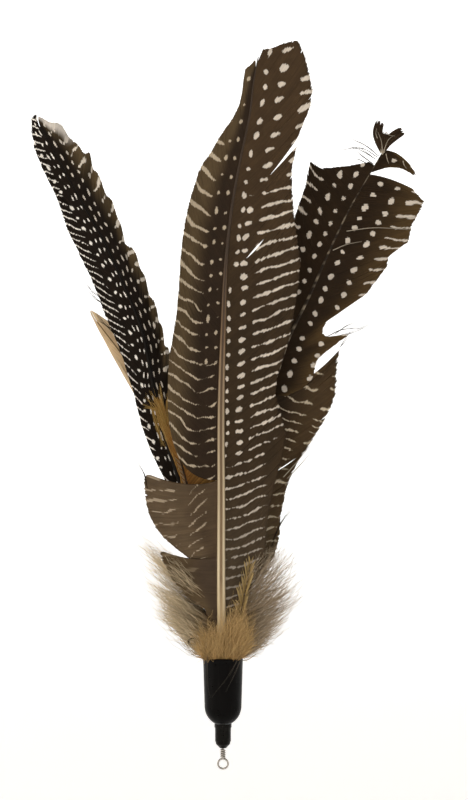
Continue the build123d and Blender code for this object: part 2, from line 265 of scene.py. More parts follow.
def swept(name, threads, values, width, thickness, sides, material):
    """A plain mesh object of threads, each an array of points in millimetres.

    threads: (count, points, 3). values: named arrays of (count, points) that the material reads;
    facing (count, points, 3) turns the section's thin side, and girth scales it."""
    count, steps, _ = threads.shape
    mesh = bpy.data.meshes.new(name)
    mesh.vertices.add(count * steps)
    mesh.vertices.foreach_set("co", (threads * MM).astype(np.float32).ravel())
    first = (np.arange(count)[:, None] * steps + np.arange(steps - 1)).ravel()
    mesh.edges.add(len(first))
    mesh.edges.foreach_set("vertices", np.stack([first, first + 1], -1).astype(np.int32).ravel())
    store(mesh, values)
    lines = placed(name + "_lines", mesh)
    modifier = lines.modifiers.new("sweep", "NODES")
    modifier.node_group = sweep_tree()
    wanted = {"Width": width, "Thickness": thickness, "Sides": sides, "Material": material}
    for item in modifier.node_group.interface.items_tree:
        if item.in_out == "INPUT" and item.name in wanted:
            modifier[item.identifier] = wanted[item.name]
    plain = bpy.data.meshes.new_from_object(lines.evaluated_get(bpy.context.evaluated_depsgraph_get()))
    bpy.data.objects.remove(lines)
    bpy.data.meshes.remove(mesh)
    return placed(name, plain)


def store(mesh, values):
    """Keeps named arrays on a mesh's points, for its material to read."""
    for key, array in values.items():
        kind, slot = ("FLOAT_VECTOR", "vector") if array.ndim == 3 else ("FLOAT", "value")
        mesh.attributes.new(key, kind, "POINT").data.foreach_set(slot, array.astype(np.float32).ravel())


def placed(name, mesh):
    """An object of its own for a mesh."""
    mesh.name = name
    piece = bpy.data.objects.new(name, mesh)
    bpy.context.scene.collection.objects.link(piece)
    return piece


def seated(piece, slot, *nodes):
    """The piece rides on the lure and stands for its CAD nodes, which are hidden; the slot is not used."""
    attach(piece, "lure")
    if nodes:
        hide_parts(*nodes)


def per_thread(values, steps):
    """One value for each thread, the same all along it."""
    return np.repeat(values[:, None], steps, 1)


def per_step(values, count):
    """One value for each step, the same on every thread."""
    return np.repeat(values[None, :], count, 0)


def arc(start, middle, stop, t):
    """Curves from each start to each stop that bend towards middle, read at the shares t."""
    t = t[None, :, None]
    return start[:, None] * (1 - t) ** 2 + stop[:, None] * t ** 2 + middle[:, None] * (2 * t * (1 - t))


def unit(vectors):
    return vectors / np.linalg.norm(vectors, axis=-1, keepdims=True)


def comb(feather, side, guides, seed, splits=(), ragged=0.015, pitch=None, reach=0.45, ripple=0.0, loose=0.08,
         cover=2.3, scallop=0.0):
    """The barbs of one stretch of vane as threads with their values.

    guides: (root height, tip x, tip height, angle from the shaft) of a few barbs from the lowest
    to the highest; the barbs between them are blended. splits: (root height, gap, start, end) of the
    places where the vane has parted, with start and end as shares of the barb. cover: the width of a
    barb in steps to the next one. ragged, ripple, loose and scallop: how worn the edge is, how far the
    barbs wave out of the sheet, how far the sheaves slip, and how deep the edge's notches are."""
    root_share = 0.7            # barbs start this far out in the shaft
    worn_share = 0.05           # of the barbs are worn far shorter
    notch_pitch = 7.4           # mm of shaft from one notch of the edge to the next
    sheet_wave = 14             # mm of shaft over which the sheet's own unevenness changes
    split_reach = 3.0           # mm of shaft on each side over which barbs lean away from a split
    barbs = settings().barbs
    rng = np.random.default_rng(seed)
    pitch = pitch or barbs.pitch / MM
    table = np.array(guides, float)
    guide_x = feather.at(table[:, 0])[0]
    spans = (table[:, 1] - guide_x, table[:, 2] - table[:, 0], np.radians(table[:, 3]))

    # Roots crowd together where the tips fan out, so that the vane stays as dense everywhere.
    fine = np.linspace(table[0, 0], table[-1, 0], 400)
    ends = [np.interp(fine, table[:, 0], v) for v in (table[:, 1], table[:, 2])]
    walk = np.gradient(fine) + np.hypot(np.gradient(ends[0]), np.gradient(ends[1]))
    walk = np.cumsum(walk) / 2
    count = max(8, int(walk[-1] / pitch))
    root_height = np.interp(np.linspace(walk[0], walk[-1], count), walk, fine)
    shaft_x, radius, heading = feather.at(root_height)
    span_x, span_up, angle = [softened(np.interp(root_height, table[:, 0], v), 5) for v in spans]
    root = np.stack([shaft_x + side * radius * root_share, root_height], -1)
    tip = np.stack([shaft_x + span_x, root_height + span_up], -1)
    cut = 1 - ragged * rng.random(count)
    cut -= (rng.random(count) < worn_share) * rng.uniform(0, 3, count) * ragged
    cut += scallop * np.sin(root_height * 2 * np.pi / notch_pitch)
    tip = root + (tip - root) * cut[:, None]
    length = np.linalg.norm(tip - root, axis=1)
    way = heading + side * angle
    bend = root + np.stack([np.sin(way), np.cos(way)], -1) * (reach * length)[:, None]
    t = np.linspace(0, 1, barbs.steps)
    t = np.sort(np.append(t, 0.5 * (1 + t[-2])))
    line = arc(root, bend, tip, t)
    along, across = feather.measured(line)
    step = unit(np.gradient(line, axis=1))
    gap = np.gradient(line, axis=0)
    room = np.abs(gap[..., 0] * step[..., 1] - gap[..., 1] * step[..., 0])
    girth = np.clip(room * cover / (barbs.width / MM), 0.6, 4.0)
    girth *= np.where(t > 0.98, 0.3, 1.0) * rng.uniform(0.92, 1.1, count)[:, None]

    # Barbs hold together in small sheaves, which part a little towards the vane's edge.
    sheaf = np.cumsum(rng.random(count) < pitch * MM / barbs.sheaf)
    sheaves = sheaf[-1] + 1
    middle = np.array([root_height[sheaf == s].mean() for s in range(sheaves)])[sheaf]
    slip = rng.uniform(-1, 1, sheaves)[sheaf] * loose
    rise = rng.uniform(-1, 1, sheaves)[sheaf] * 0.1 + drift(rng, count, sheet_wave / pitch) * 0.5
    shift = (slip + (middle - root_height) * loose * 0.5)[:, None] * t ** 2
    for height, gap, start, end in splits:
        off = root_height - height
        along_split = np.clip((t - start) / (end - start), 0, 1)
        opening = np.sin(np.pi * along_split) if end < 1 else along_split ** 1.2
        shift += (np.sign(off) * np.exp(-np.abs(off) / split_reach) * gap / 2)[:, None] * opening
    up = np.stack([np.sin(heading), np.cos(heading)], -1)
    line = line + shift[:, :, None] * up[:, None, :]

    x, height = line[..., 0], line[..., 1]
    front = feather.facing(x, height)
    wave = np.sin(root_height / 1.9 + 0.6) * ripple
    depth = feather.depth(x, height) + rise[:, None] * t + wave[:, None] * t ** 2
    threads = np.stack([x, depth, MOUTH + height], -1)
    over = np.cross(front, unit(np.gradient(threads, axis=1))) * side
    return threads, {
        "facing": front + over * barbs.overlap,
        "girth": girth,
        "along": along,
        "across": across,
        "out": per_step(t, count),
        "strand": per_thread(rng.random(count), len(t)),
        "sheaf": per_thread(rng.random(sheaves)[sheaf], len(t)),
    }


def joined(parts):
    """Several sets of threads and their values as one."""
    return (np.concatenate([threads for threads, _ in parts]),
            {key: np.concatenate([values[key] for _, values in parts]) for key in parts[0][1]})


def barbed(name, parts, material, slot, node):
    """One piece of barbs, from one or more sets of threads, in the place of a CAD node."""
    barbs = settings().barbs
    seated(swept(name, *joined(parts), barbs.width, barbs.thickness, 4, material), slot, node)


def vane(name, feather, side, guides, material, slot, node, seed, **options):
    barbed(name, [comb(feather, side, guides, seed, **options)], material, slot, node)


def quill(name, feather, material, slot, node, groove=0.0, sink=8.0):
    """A tapered shaft with rounded ends, and with a groove down its front if it has one."""
    around, rings, groove_width = 20, 110, 0.42
    height = np.concatenate([[-sink, -sink + 0.4], np.linspace(0, feather.top, rings)])
    visible = np.clip(height, 0, None)
    x, radius, _ = feather.at(visible)
    radius[0] *= 0.5
    y = feather.depth(x, visible)
    angle = np.linspace(0, 2 * math.pi, around, endpoint=False)
    front = np.angle(np.exp(1j * (angle + math.pi / 2)))
    dip = np.exp(-(front / groove_width) ** 2)[None, :] * np.clip((height + 4) / 12, 0, 1)[:, None]
    out = radius[:, None] * (1 - groove * dip)
    points = np.stack([x[:, None] + out * np.cos(angle), y[:, None] + out * np.sin(angle),
                       per_thread(MOUTH + height, around)], -1)
    count = len(height)
    corners = [(i * around + j, i * around + (j + 1) % around, (i + 1) * around + (j + 1) % around,
                (i + 1) * around + j) for i in range(count - 1) for j in range(around)]
    ends = [list(range(around))[::-1], [(count - 1) * around + j for j in range(around)]]
    mesh = bpy.data.meshes.new(name)
    mesh.from_pydata((points.reshape(-1, 3) * MM).tolist(), [], corners + ends)
    mesh.shade_smooth()
    store(mesh, {"beside": per_step(np.cos(angle), count), "along": per_thread(height, around)})
    mesh.materials.append(material)
    seated(placed(name, mesh), slot, node)


# ---- materials --------------------------------------------------------------------------------
KERATIN_IOR = 1.54
BLEND = dict(data_type="RGBA")                              # a mix node blends two colours,
TIMES = dict(data_type="RGBA", blend_type="MULTIPLY")       # or makes one darker or lighter
EASED = dict(interpolation_type="SMOOTHSTEP")               # a range starts and ends gently


def surface(name):
    """A new material and its empty tree."""
    material = bpy.data.materials.new(name)
    material.use_nodes = True
    material.node_tree.nodes.clear()
    return material, material.node_tree


def finish(tree, **values):
    """Adds the material's one shader, with its values."""
    add(tree, "ShaderNodeOutputMaterial", add(tree, "ShaderNodeBsdfPrincipled", **values))


def stored(tree, *names):
    """The values kept on the piece's points under these names."""
    return [add(tree, "ShaderNodeAttribute", attribute_name=name)["Fac"] for name in names]


def drawn(value, points):
    """A curve node whose line now goes smoothly through (x, y) points within 0 and 1."""
    line = value.node.mapping.curves[0]
    for x, y in points[1:-1]:
        line.points.new(x, y)
    for spot, place in zip(line.points, sorted(points)):
        spot.location = place
        spot.handle_type = "AUTO_CLAMPED"
    value.node.mapping.update()
    return value


def rows_of_marks(tree, values, width, seed, period, zones, climb, stretch=0.0, wander=0.1, breaks=0.2,
                  share=False):
    """How much of a mark each point holds, from rows of spots and bars that repeat along the shaft.

    zones: (where the zone starts along the shaft, marks) with marks as (distance out, half
    thickness) points in millimetres, and less than nothing where the ground shows. climb:
    (distance out, rise) of a row. stretch: how the rows space out along the shaft. share: the marks'
    distances are shares of the barb times the width, so that they keep to the vane's edge."""
    along, across, strand, reach = values
    climb_range, mark_range = 60, 4             # mm that a curve's 0 to 1 stands for
    slip, stray, drift_range = 0.36, 2.4, 40    # mm that barbs slip, marks stray and rows may drift
    change = 4                                  # mm to each side over which zones blend
    where = add(tree, "ShaderNodeCombineXYZ", across, along, seed)
    sway = add(tree, "ShaderNodeTexNoise", where, 0.16, 1)
    sway_out = add(tree, "ShaderNodeTexNoise", where, 0.11, 1)
    out = ((reach * width if share else across) + (sway_out - 0.5) * stray) / width
    lift = drawn(add(tree, "ShaderNodeFloatCurve", Value=across / width),
                 [(d / width, 0.5 + rise / climb_range) for d, rise in climb])
    path = along - (lift - 0.5) * climb_range + (strand - 0.5) * slip + (sway - 0.5) * (wander * drift_range)
    row = path / period - path * path * stretch
    number = row.worked("FLOOR")
    off = abs(row - number - 0.5)
    half = None
    for start, marks in zones:
        here = drawn(add(tree, "ShaderNodeFloatCurve", Value=out),
                     [(d / width, 0.5 + thick / mark_range) for d, thick in marks])
        if half:
            past = add(tree, "ShaderNodeMapRange", path, start - change, start + change)
            here = add(tree, "ShaderNodeMix", past, half, here)
        half = here
    cell = add(tree, "ShaderNodeCombineXYZ", number * 5.3, across * 0.3, seed + 3)
    gaps = (add(tree, "ShaderNodeTexNoise", cell, 1, 1) - 0.5) * (breaks * 4)
    inside = ((half - 0.5) * mark_range + gaps) / period - off
    return add(tree, "ShaderNodeMapRange", inside, -0.02, 0.05, **EASED)


def barred(name, inner, outer, mark, layers, width=24.0, foot=None, foot_end=60.0, seed=0.0, contrast=1.0,
           foot_contrast=1.0, turn=(0.25, 0.7), top=None, worn_tip=None):
    """Feather keratin, matte, with layers of spots and bars on a ground that shades from the shaft out.

    foot: the ground's colour up to foot_end, and foot_contrast how clear its marks are. top: (height
    about which the ground changes, colour). turn: where along a barb the inner colour gives way to the
    outer. worn_tip: (height, share of the barb, colour) of a bleached rim."""
    top_blend, rim_blend = 25, 5            # mm to each side of the top's height, and above the rim's
    material, tree = surface(name)
    along, across, strand, sheaf, reach = stored(tree, "along", "across", "strand", "sheaf", "out")
    spot = None
    for number, layer in enumerate(layers):
        marks = rows_of_marks(tree, (along, across, strand, reach), width, seed + 7 * number, **layer)
        spot = spot.worked("MAXIMUM", marks) if spot else marks
    edge = add(tree, "ShaderNodeMapRange", reach, *turn, **EASED)
    ground = add(tree, "ShaderNodeMix", edge, inner, outer, **BLEND)
    if top:
        height, code = top
        upper = add(tree, "ShaderNodeMapRange", along, height - top_blend, height + top_blend)
        ground = add(tree, "ShaderNodeMix", upper, ground, code, **BLEND)
    if foot:
        rise = add(tree, "ShaderNodeMapRange", along, foot_end * 0.35, foot_end, **EASED)
        ground = add(tree, "ShaderNodeMix", rise, foot, ground, **BLEND)
        contrast = rise * (contrast - foot_contrast) + foot_contrast
    where = add(tree, "ShaderNodeCombineXYZ", across, along, seed)
    cloud = add(tree, "ShaderNodeTexNoise", where, 0.25, 3) * 0.6 + 0.7
    ground = add(tree, "ShaderNodeMix", 1, ground, cloud, **TIMES)
    ground = add(tree, "ShaderNodeMix", spot * contrast, ground, mark, **BLEND)
    if worn_tip:
        start, inner_rim, code = worn_tip
        worn = add(tree, "ShaderNodeMapRange", along, start, start + rim_blend)
        worn *= add(tree, "ShaderNodeMapRange", reach, inner_rim, inner_rim + 0.2)
        ground = add(tree, "ShaderNodeMix", worn, ground, code, **BLEND)
    shade = (strand * 0.18 + 0.86) * (sheaf * 0.14 + 0.93)
    finish(tree, Base_Color=add(tree, "ShaderNodeMix", 1, ground, shade, **TIMES), Roughness=0.6,
           IOR=KERATIN_IOR, Specular_IOR_Level=0.1)
    return material


def plain_strands(name, root, tip, variety=0.3, until=1.0):
    """Unmarked keratin threads, dull, that pale from root to tip and differ from strand to strand."""
    material, tree = surface(name)
    out, strand = stored(tree, "out", "strand")
    colour = add(tree, "ShaderNodeMix", add(tree, "ShaderNodeMapRange", out, 0, until), root, tip, **BLEND)
    shade = strand * variety + (1.0 - variety * 0.6)
    finish(tree, Base_Color=add(tree, "ShaderNodeMix", 1, colour, shade, **TIMES), Roughness=0.7,
           IOR=KERATIN_IOR, Specular_IOR_Level=0.12)
    return material


def streaked(tree):
    """Fine streaks, 0.4 mm apart, that run up a quill."""
    long = add(tree, "ShaderNodeMapping", add(tree, "ShaderNodeTexCoord")["Object"], Scale=(2600, 2600, 60))
    return add(tree, "ShaderNodeTexNoise", long, 1, 3)


def grooved_keratin():
    """The centre quill's underside, satin: two cream ridges with a brown groove between, darker higher up."""
    material, tree = surface("Grooved quill keratin")
    beside, along = stored(tree, "beside", "along")
    ridge = drawn(add(tree, "ShaderNodeFloatCurve", Value=abs(beside)), [
        (0, 0), (0.12, 0.05), (0.3, 0.2), (0.48, 0.75), (0.62, 1), (0.82, 0.8), (1, 0.3)])
    low = add(tree, "ShaderNodeMix", ridge, "#70583a", "#dccba8", **BLEND)
    high = add(tree, "ShaderNodeMix", ridge, "#33241a", "#7d6347", **BLEND)
    rise, top, root = (add(tree, "ShaderNodeMapRange", along, start, end)
                       for start, end in ((30, 95), (90, 122), (6, 24)))
    body = add(tree, "ShaderNodeMix", rise, low, high, **BLEND)
    body = add(tree, "ShaderNodeMix", top, body, "#23190f", **BLEND)
    body = add(tree, "ShaderNodeMix", root, "#cdb488", body, **BLEND)
    body = add(tree, "ShaderNodeMix", streaked(tree) * 0.35, body, "#5c452c", **BLEND)
    finish(tree, Base_Color=body, Roughness=0.38, IOR=KERATIN_IOR, Specular_IOR_Level=0.22)
    return material


def dark_keratin(name, low, high, streak_and_painted_glint="#0c0805"):
    """A quill's rounded side: smooth dark keratin with broken streaks of a second colour; a pale one is a
    painted highlight, glints of light along the shaft, and a dark one gives only darker streaks.
    """
    material, tree = surface(name)
    along, = stored(tree, "along")
    body = add(tree, "ShaderNodeMix", add(tree, "ShaderNodeMapRange", along, 10, 90), low, high, **BLEND)
    patches = add(tree, "ShaderNodeTexNoise", add(tree, "ShaderNodeCombineXYZ", along), 0.33, 2)
    broken = add(tree, "ShaderNodeMapRange", patches, 0.48, 0.6)
    streaks = add(tree, "ShaderNodeMath", streaked(tree), broken + 0.06, operation="MULTIPLY", use_clamp=True)
    # Painted highlight: where the streak colour is pale, these streaks are glints of light painted into the
    # base colour.
    body = add(tree, "ShaderNodeMix", streaks, body, streak_and_painted_glint, **BLEND)
    finish(tree, Base_Color=body, Roughness=0.5, IOR=KERATIN_IOR, Specular_IOR_Level=0.1)
    return material


def moulded_abs():
    """Black ABS: satin from the mould, with fine scuffs that are paler and duller."""
    material, tree = surface("Moulded black ABS")
    place = add(tree, "ShaderNodeTexCoord")["Object"]
    scuffs = add(tree, "ShaderNodeMapping", place, Rotation=(0.2, 0.5, 0.3), Scale=(900, 900, 120))
    lines = add(tree, "ShaderNodeTexNoise", scuffs, 1, 6)
    worn = add(tree, "ShaderNodeMapRange", lines, 0.58, 0.72)
    satin = add(tree, "ShaderNodeTexNoise", place, 700, 3) * 0.16 + 0.22
    finish(tree, Base_Color=add(tree, "ShaderNodeMix", worn * 0.35, "#060504", "#1c1914", **BLEND),
           Roughness=worn * 0.25 + satin, IOR=1.5, Specular_IOR_Level=0.05,
           Normal=add(tree, "ShaderNodeBump", Strength=0.18, Distance=0.00008, Height=lines))
    return material


def metal(name, colour, roughness, speckle_and_painted_reflection):
    """A plated metal: bright or blackened, with handling marks that vary its polish; on the bright wire the
    dark speckle is partly painted reflection, standing in for the dark edges of chrome-like wire.
    """
    material, tree = surface(name)
    marks = add(tree, "ShaderNodeTexNoise", add(tree, "ShaderNodeTexCoord")["Object"], 1800, 5)
    finish(tree, Base_Color=add(tree, "ShaderNodeMix", marks * 0.5, colour, speckle_and_painted_reflection, **BLEND), Metallic=1,
           Roughness=marks * 0.2 + (roughness - 0.08))
    return material


def hot_glue():
    """Set hot-melt glue: cloudy, waxy and slightly amber."""
    material, tree = surface("Hot-melt glue")
    cloud = add(tree, "ShaderNodeTexNoise", add(tree, "ShaderNodeTexCoord")["Object"], 500, 3)
    finish(tree, Base_Color=add(tree, "ShaderNodeMix", cloud, "#b9a878", "#e2d7b4", **BLEND), Roughness=0.4,
           IOR=1.48, Subsurface_Weight=0.3, Subsurface_Scale=0.001)
    return material


# ---- settings ---------------------------------------------------------------------------------
def length(name, description, millimetres):
    return FloatProperty(name=name, description=description, default=millimetres * MM, min=0, unit="LENGTH",
                         precision=5)


def colour(name, description, code):
    return FloatVectorProperty(name=name, description=description, default=srgb(code)[:3], subtype="COLOR",
                               min=0, max=1)


class LureBarbs(bpy.types.PropertyGroup):
    pitch: length("Pitch", "Distance between the roots of two barbs along a shaft", 0.40)
    width: length("Width", "Width of one barb across the vane", 0.44)
    thickness: length("Thickness", "Thickness of one barb through the vane", 0.14)
    sheaf: length("Sheaf", "Stretch of shaft whose barbs hold together", 2.2)
    overlap: FloatProperty(name="Overlap", description="Tilt of each barb over the next one", default=0.14)
    steps: IntProperty(name="Steps", description="Points along one barb", default=13, min=4, max=40)


class LureDown(bpy.types.PropertyGroup):
    strand: length("Strand", "Diameter of one down strand", 0.15)
    tuft: IntProperty(name="Tuft", description="Strands in one tuft", default=14, min=3, max=60)
    curl: length("Curl", "How far a strand waves from its line", 0.9)


class LureColours(bpy.types.PropertyGroup):
    mark: colour("Marks", "Spots and bars of the vanes", "#c8bdae")
    mark_left: colour("Left marks", "Spots and bars of the left feather", "#f0eae0")
    centre: colour("Centre", "Ground of the centre feather", "#342717")
    left: colour("Left", "Ground of the left feather", "#160d05")
    right: colour("Right", "Ground of the right feather", "#251808")
    brown: colour("Brown", "Ground of the brown feather behind", "#c4a883")
    amber: colour("Amber", "Ground of the amber feather", "#94703a")
    golden: colour("Golden", "Golden down at the foot of the centre feather", "#d1b079")
    down: colour("Down", "Pale down around the cap", "#e3d0ad")
    down_shade: colour("Down roots", "Down near its roots", "#7d6342")


class LureStage(bpy.types.PropertyGroup):
    drop: length("Drop", "Height of the lure above the floor", 60)
    backdrop: colour("Backdrop", "Paper sweep behind the lure", "#ffffff")
    key: FloatProperty(name="Key light", description="Power of the main light", default=6.5, unit="POWER")
    fill: FloatProperty(name="Fill light", description="Power of the filling light", default=2, unit="POWER")
    glow: FloatProperty(name="Glow", description="How strongly the far paper is lit", default=0.5)
    sky: FloatProperty(name="Sky", description="Strength of the light from all round", default=0.22)


class LureSettings(bpy.types.PropertyGroup):
    barbs: PointerProperty(type=LureBarbs)
    down: PointerProperty(type=LureDown)
    colours: PointerProperty(type=LureColours)
    stage: PointerProperty(type=LureStage)


# ---- hardware and quills -----------------------------------------------------------------------
def refinish(node, material):
    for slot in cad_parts[node].material_slots:
        slot.material = material


class LURE_OT_hardware(bpy.types.Operator):
    """Finish the cap, the swivel, its anchor and the glue"""
    bl_idname = "lure.hardware"
    bl_label = "Cap and swivel"

    def execute(self, context):
        refinish("end_cap", moulded_abs())
        refinish("swivel_barrel", metal("Black nickel plate", "#1b1a18", 0.28, "#0b0a09"))
        # The bright wire's dark speckle is partly painted reflection: it stands in for the dark edges that
        # the wire mirrors.
        refinish("swivel_eye", metal("Bright nickel wire", "#b3ada5", 0.2, "#3d3832"))
        refinish("swivel_anchor", metal("Drawn steel wire", "#c9c2b9", 0.3, "#8d857b"))
        refinish("glue_plug", hot_glue())
        return {"FINISHED"}


class LURE_OT_quills(bpy.types.Operator):
    """Make the shafts of the feathers"""
    bl_idname = "lure.quills"
    bl_label = "Quills"

    def execute(self, context):
        quill("centre_shaft", CENTRE, grooved_keratin(), "quill_pale", "centre_quill", groove=0.28)
        for name, feather, *colours in [
            ("left", LEFT, "Black quill keratin", "#1d140b", "#0d0804"),
            # The right quill's pale third colour is painted highlight: glints of light along its shaft.
            ("right", RIGHT, "Dark quill keratin", "#33241a", "#1c120a", "#a2937c"),
            ("brown", BROWN, "Brown quill keratin", "#8a7457", "#7c6444"),
            ("amber", AMBER, "Amber quill keratin", "#33220f", "#3d2a14"),
        ]:
            quill(name + "_shaft", feather, dark_keratin(*colours), "quill_dark", name + "_quill")
        return {"FINISHED"}


# ---- vanes ------------------------------------------------------------------------------------
# Each row of a guide: root height, tip x, tip height, and the barb's angle from the shaft.
CENTRE_RIGHT = [
    (13, 4, 15, 85), (15, 6.5, 19, 80), (17, 10.5, 24, 75), (20, 12.5, 29.5, 70), (25, 13, 36, 65),
    (30, 13.5, 42.5, 62), (38, 15.5, 52, 58), (45, 18, 61, 55), (50, 19, 67, 53), (57, 17.2, 74, 50),
    (62, 15.8, 79, 50), (67, 16.2, 84, 50), (77, 20, 96, 48), (89, 22.5, 110, 47), (96, 23.2, 118, 46),
    (111, 21.2, 133, 45), (125, 20.6, 146, 44), (134, 22.5, 155, 42), (142, 26, 164, 40),
    (147, 26.7, 169, 38), (153, 25.3, 176, 34), (158, 24.2, 180, 31), (163, 22.2, 184.3, 27),
    (168, 19, 183.3, 24), (172, 15, 181.8, 20), (177, 12, 181, 14),
]
CENTRE_LEFT_UPPER = [
    (53.5, -16, 73, 92), (55, -16.3, 78, 84), (58, -16.2, 84, 74), (63, -16, 90, 66), (70, -15, 96, 60),
    (78, -13.7, 103.5, 52), (86, -13, 112, 50), (95, -12.5, 121, 46), (104, -11.5, 129, 43),
    (111, -10.2, 135.5, 42), (119, -8, 142.5, 41), (124, -7, 146, 40), (131, -3.5, 151, 39),
    (137, -1, 155.5, 38), (146, 3, 161, 35), (153, 5, 165, 32), (158, 5.7, 168.5, 28), (163, 6.1, 172.5, 23),
    (168, 6.6, 175.4, 18), (172, 8.2, 176.6, 14), (175, 9.4, 177.8, 8),
]
CENTRE_LEFT_MIDDLE = [
    (29.6, -5.5, 29, 100), (31.4, -10.2, 29.9, 102), (36, -14.5, 33.2, 104), (39, -18, 36.5, 106),
    (42, -20.5, 39.8, 108), (45, -22.5, 44, 108), (48, -23.2, 48.5, 108), (51, -23.6, 52.5, 109),
    (53, -23.2, 55, 110),
]
CENTRE_LEFT_BASE = [
    (8.5, -4, 8.8, 100), (11, -4.6, 11.8, 100), (14, -5.4, 15, 100), (16, -8, 16.5, 98),
    (18, -10.5, 18.5, 95), (20.5, -14, 22, 92), (23, -17, 26.5, 92), (26, -18, 29.5, 97),
    (30, -19.2, 32, 106),
]
LEFT_OUTER = [
    (38, -11.5, 42, 60), (42, -14.5, 48, 55), (46, -17.5, 54, 50), (52, -22, 62.5, 46), (58, -25, 71, 44),
    (68, -27.6, 82, 42), (76, -30.6, 91, 40), (89, -36.6, 105, 38), (101, -42, 118, 36),
    (112, -47.6, 129.5, 35), (119, -50.2, 138, 35), (126, -53.6, 145.5, 34), (133, -56.6, 152, 33),
    (141, -58.2, 158.5, 30), (150, -58.4, 162.3, 24), (156, -57.5, 163.8, 18),
    (159.4, -56.6, 163.9, 8),
]
LEFT_INNER = [
    (62, -17.2, 78, 25), (66, -15.6, 82, 35), (72, -15.4, 88.5, 40), (80, -17.8, 95.5, 40),
    (88, -19.8, 103.5, 38), (96, -23.3, 112, 36), (104, -26.3, 121, 35), (110, -30.5, 126.5, 35),
    (116, -31.8, 133, 34), (123, -35.3, 140, 33), (130, -39.2, 147.5, 32), (136, -40.8, 152.3, 31),
    (142, -44, 154, 27), (148, -48.5, 160, 24), (152, -51.2, 161.5, 20), (156, -54.3, 162.2, 14),
    (159.4, -55.9, 163.2, 5),
]
RIGHT_INNER = [
    (43, 1.5, 49, 60), (49, 0, 57, 60), (57, 0.5, 67, 60), (67, 4, 80, 60), (77, 9, 92, 60),
    (87, 14, 103.5, 60), (97, 18.4, 115, 62), (106, 20, 125.5, 63), (115, 22, 134, 66), (124, 25, 142.5, 70),
    (132, 26.4, 150, 74), (137, 29.5, 147.6, 80), (141, 34, 147.8, 84), (145, 39, 148.3, 84),
    (148, 44, 149.2, 70),
]
RIGHT_OUTER = [
    (78.8, 19.5, 78.6, 66), (80, 24, 80.6, 64), (82, 27, 83.6, 62), (84.6, 27.8, 87, 62),
    (87, 28.6, 89.6, 61), (88.5, 31.5, 92, 60), (90, 38.5, 97.2, 55), (90.8, 31, 96.2, 52),
    (92, 30, 98.5, 50), (94, 32, 101.8, 50), (97, 36, 104.2, 50), (101, 43.5, 109.3, 50),
    (108, 50, 118, 50), (112, 50.3, 120.8, 48), (117, 56.5, 125.3, 50), (123, 57.7, 130.6, 52),
    (129, 59.6, 134, 55), (133, 60.5, 135.3, 58), (138, 60.8, 136.6, 61), (142, 61.3, 137.6, 64),
    (145.3, 58, 141, 66),
]
RIGHT_BASE = [
    (24, 12, 25, 70), (27, 15.5, 30, 66), (31, 17.2, 36, 64), (36, 17.6, 42, 62), (42, 19, 50, 62),
    (48, 22.5, 58.5, 62), (53, 26.5, 64, 62), (60, 31, 71.5, 64), (65, 33.8, 77, 66), (69, 34.6, 82, 63),
    (73, 34.8, 87.5, 58), (76, 35, 90.5, 54), (78.3, 35.7, 92.8, 51),
]
RIGHT_TIP = [
    (146.3, 50.5, 148.2, 40), (148, 55, 147.6, 40), (150, 58.4, 145.3, 42), (151.2, 58.8, 145.8, 38),
    (152, 57, 148.6, 28), (152.4, 52.5, 151.6, 18),
]
BROWN_LEFT = [
    (29, -8, 36, 60), (36, -13, 48, 55), (46, -17, 60, 50), (55, -21.5, 70, 45), (62, -25.5, 77.5, 42),
    (69, -29.2, 84.5, 38), (76, -33.5, 92, 34), (82, -36.5, 96.5, 30), (90, -39, 100.5, 24),
    (97, -40.8, 104.2, 14), (100.6, -40.4, 104.4, 5),
]
BROWN_RIGHT = [
    (29, 2, 36, 62), (36, 2, 46, 60), (45, -0.5, 57.5, 58), (54, -5.5, 66.5, 52), (62, -11.5, 74, 46),
    (70, -17.5, 82, 42), (79, -26.5, 92.5, 36), (88, -34, 100.5, 26), (97, -39.5, 104.2, 10),
    (100.6, -40.1, 104.4, 4),
]
AMBER_LEFT = [
    (36, -10, 39, 60), (40, -12.6, 45, 55), (47, -12.8, 54, 50), (53, -14, 60, 45), (59, -17.5, 66, 38),
    (65, -20, 72, 32), (71, -21.3, 77, 26), (75, -18.6, 78.5, 12),
]
AMBER_RIGHT = [
    (32, -4, 38, 55), (38, -2, 45, 52), (45, -2, 52, 50), (53, -4, 60, 46), (61, -7, 68, 40),
    (68, -11, 75, 32), (74, -17, 78, 14),
]
PLUME_LEFT = [
    (9, 1.6, 14, 20), (13, 2.9, 18, 22), (17, 4.3, 22.5, 20), (21, 5.6, 27, 18), (25, 6.6, 30.2, 14),
    (29, 8, 31.8, 8),
]
PLUME_RIGHT = [
    (9, 6, 14, 20), (13, 7.4, 18, 22), (17, 8.6, 22.5, 20), (21, 9.6, 27, 18), (25, 10, 30.4, 14),
    (29, 9.2, 31.8, 8),
]


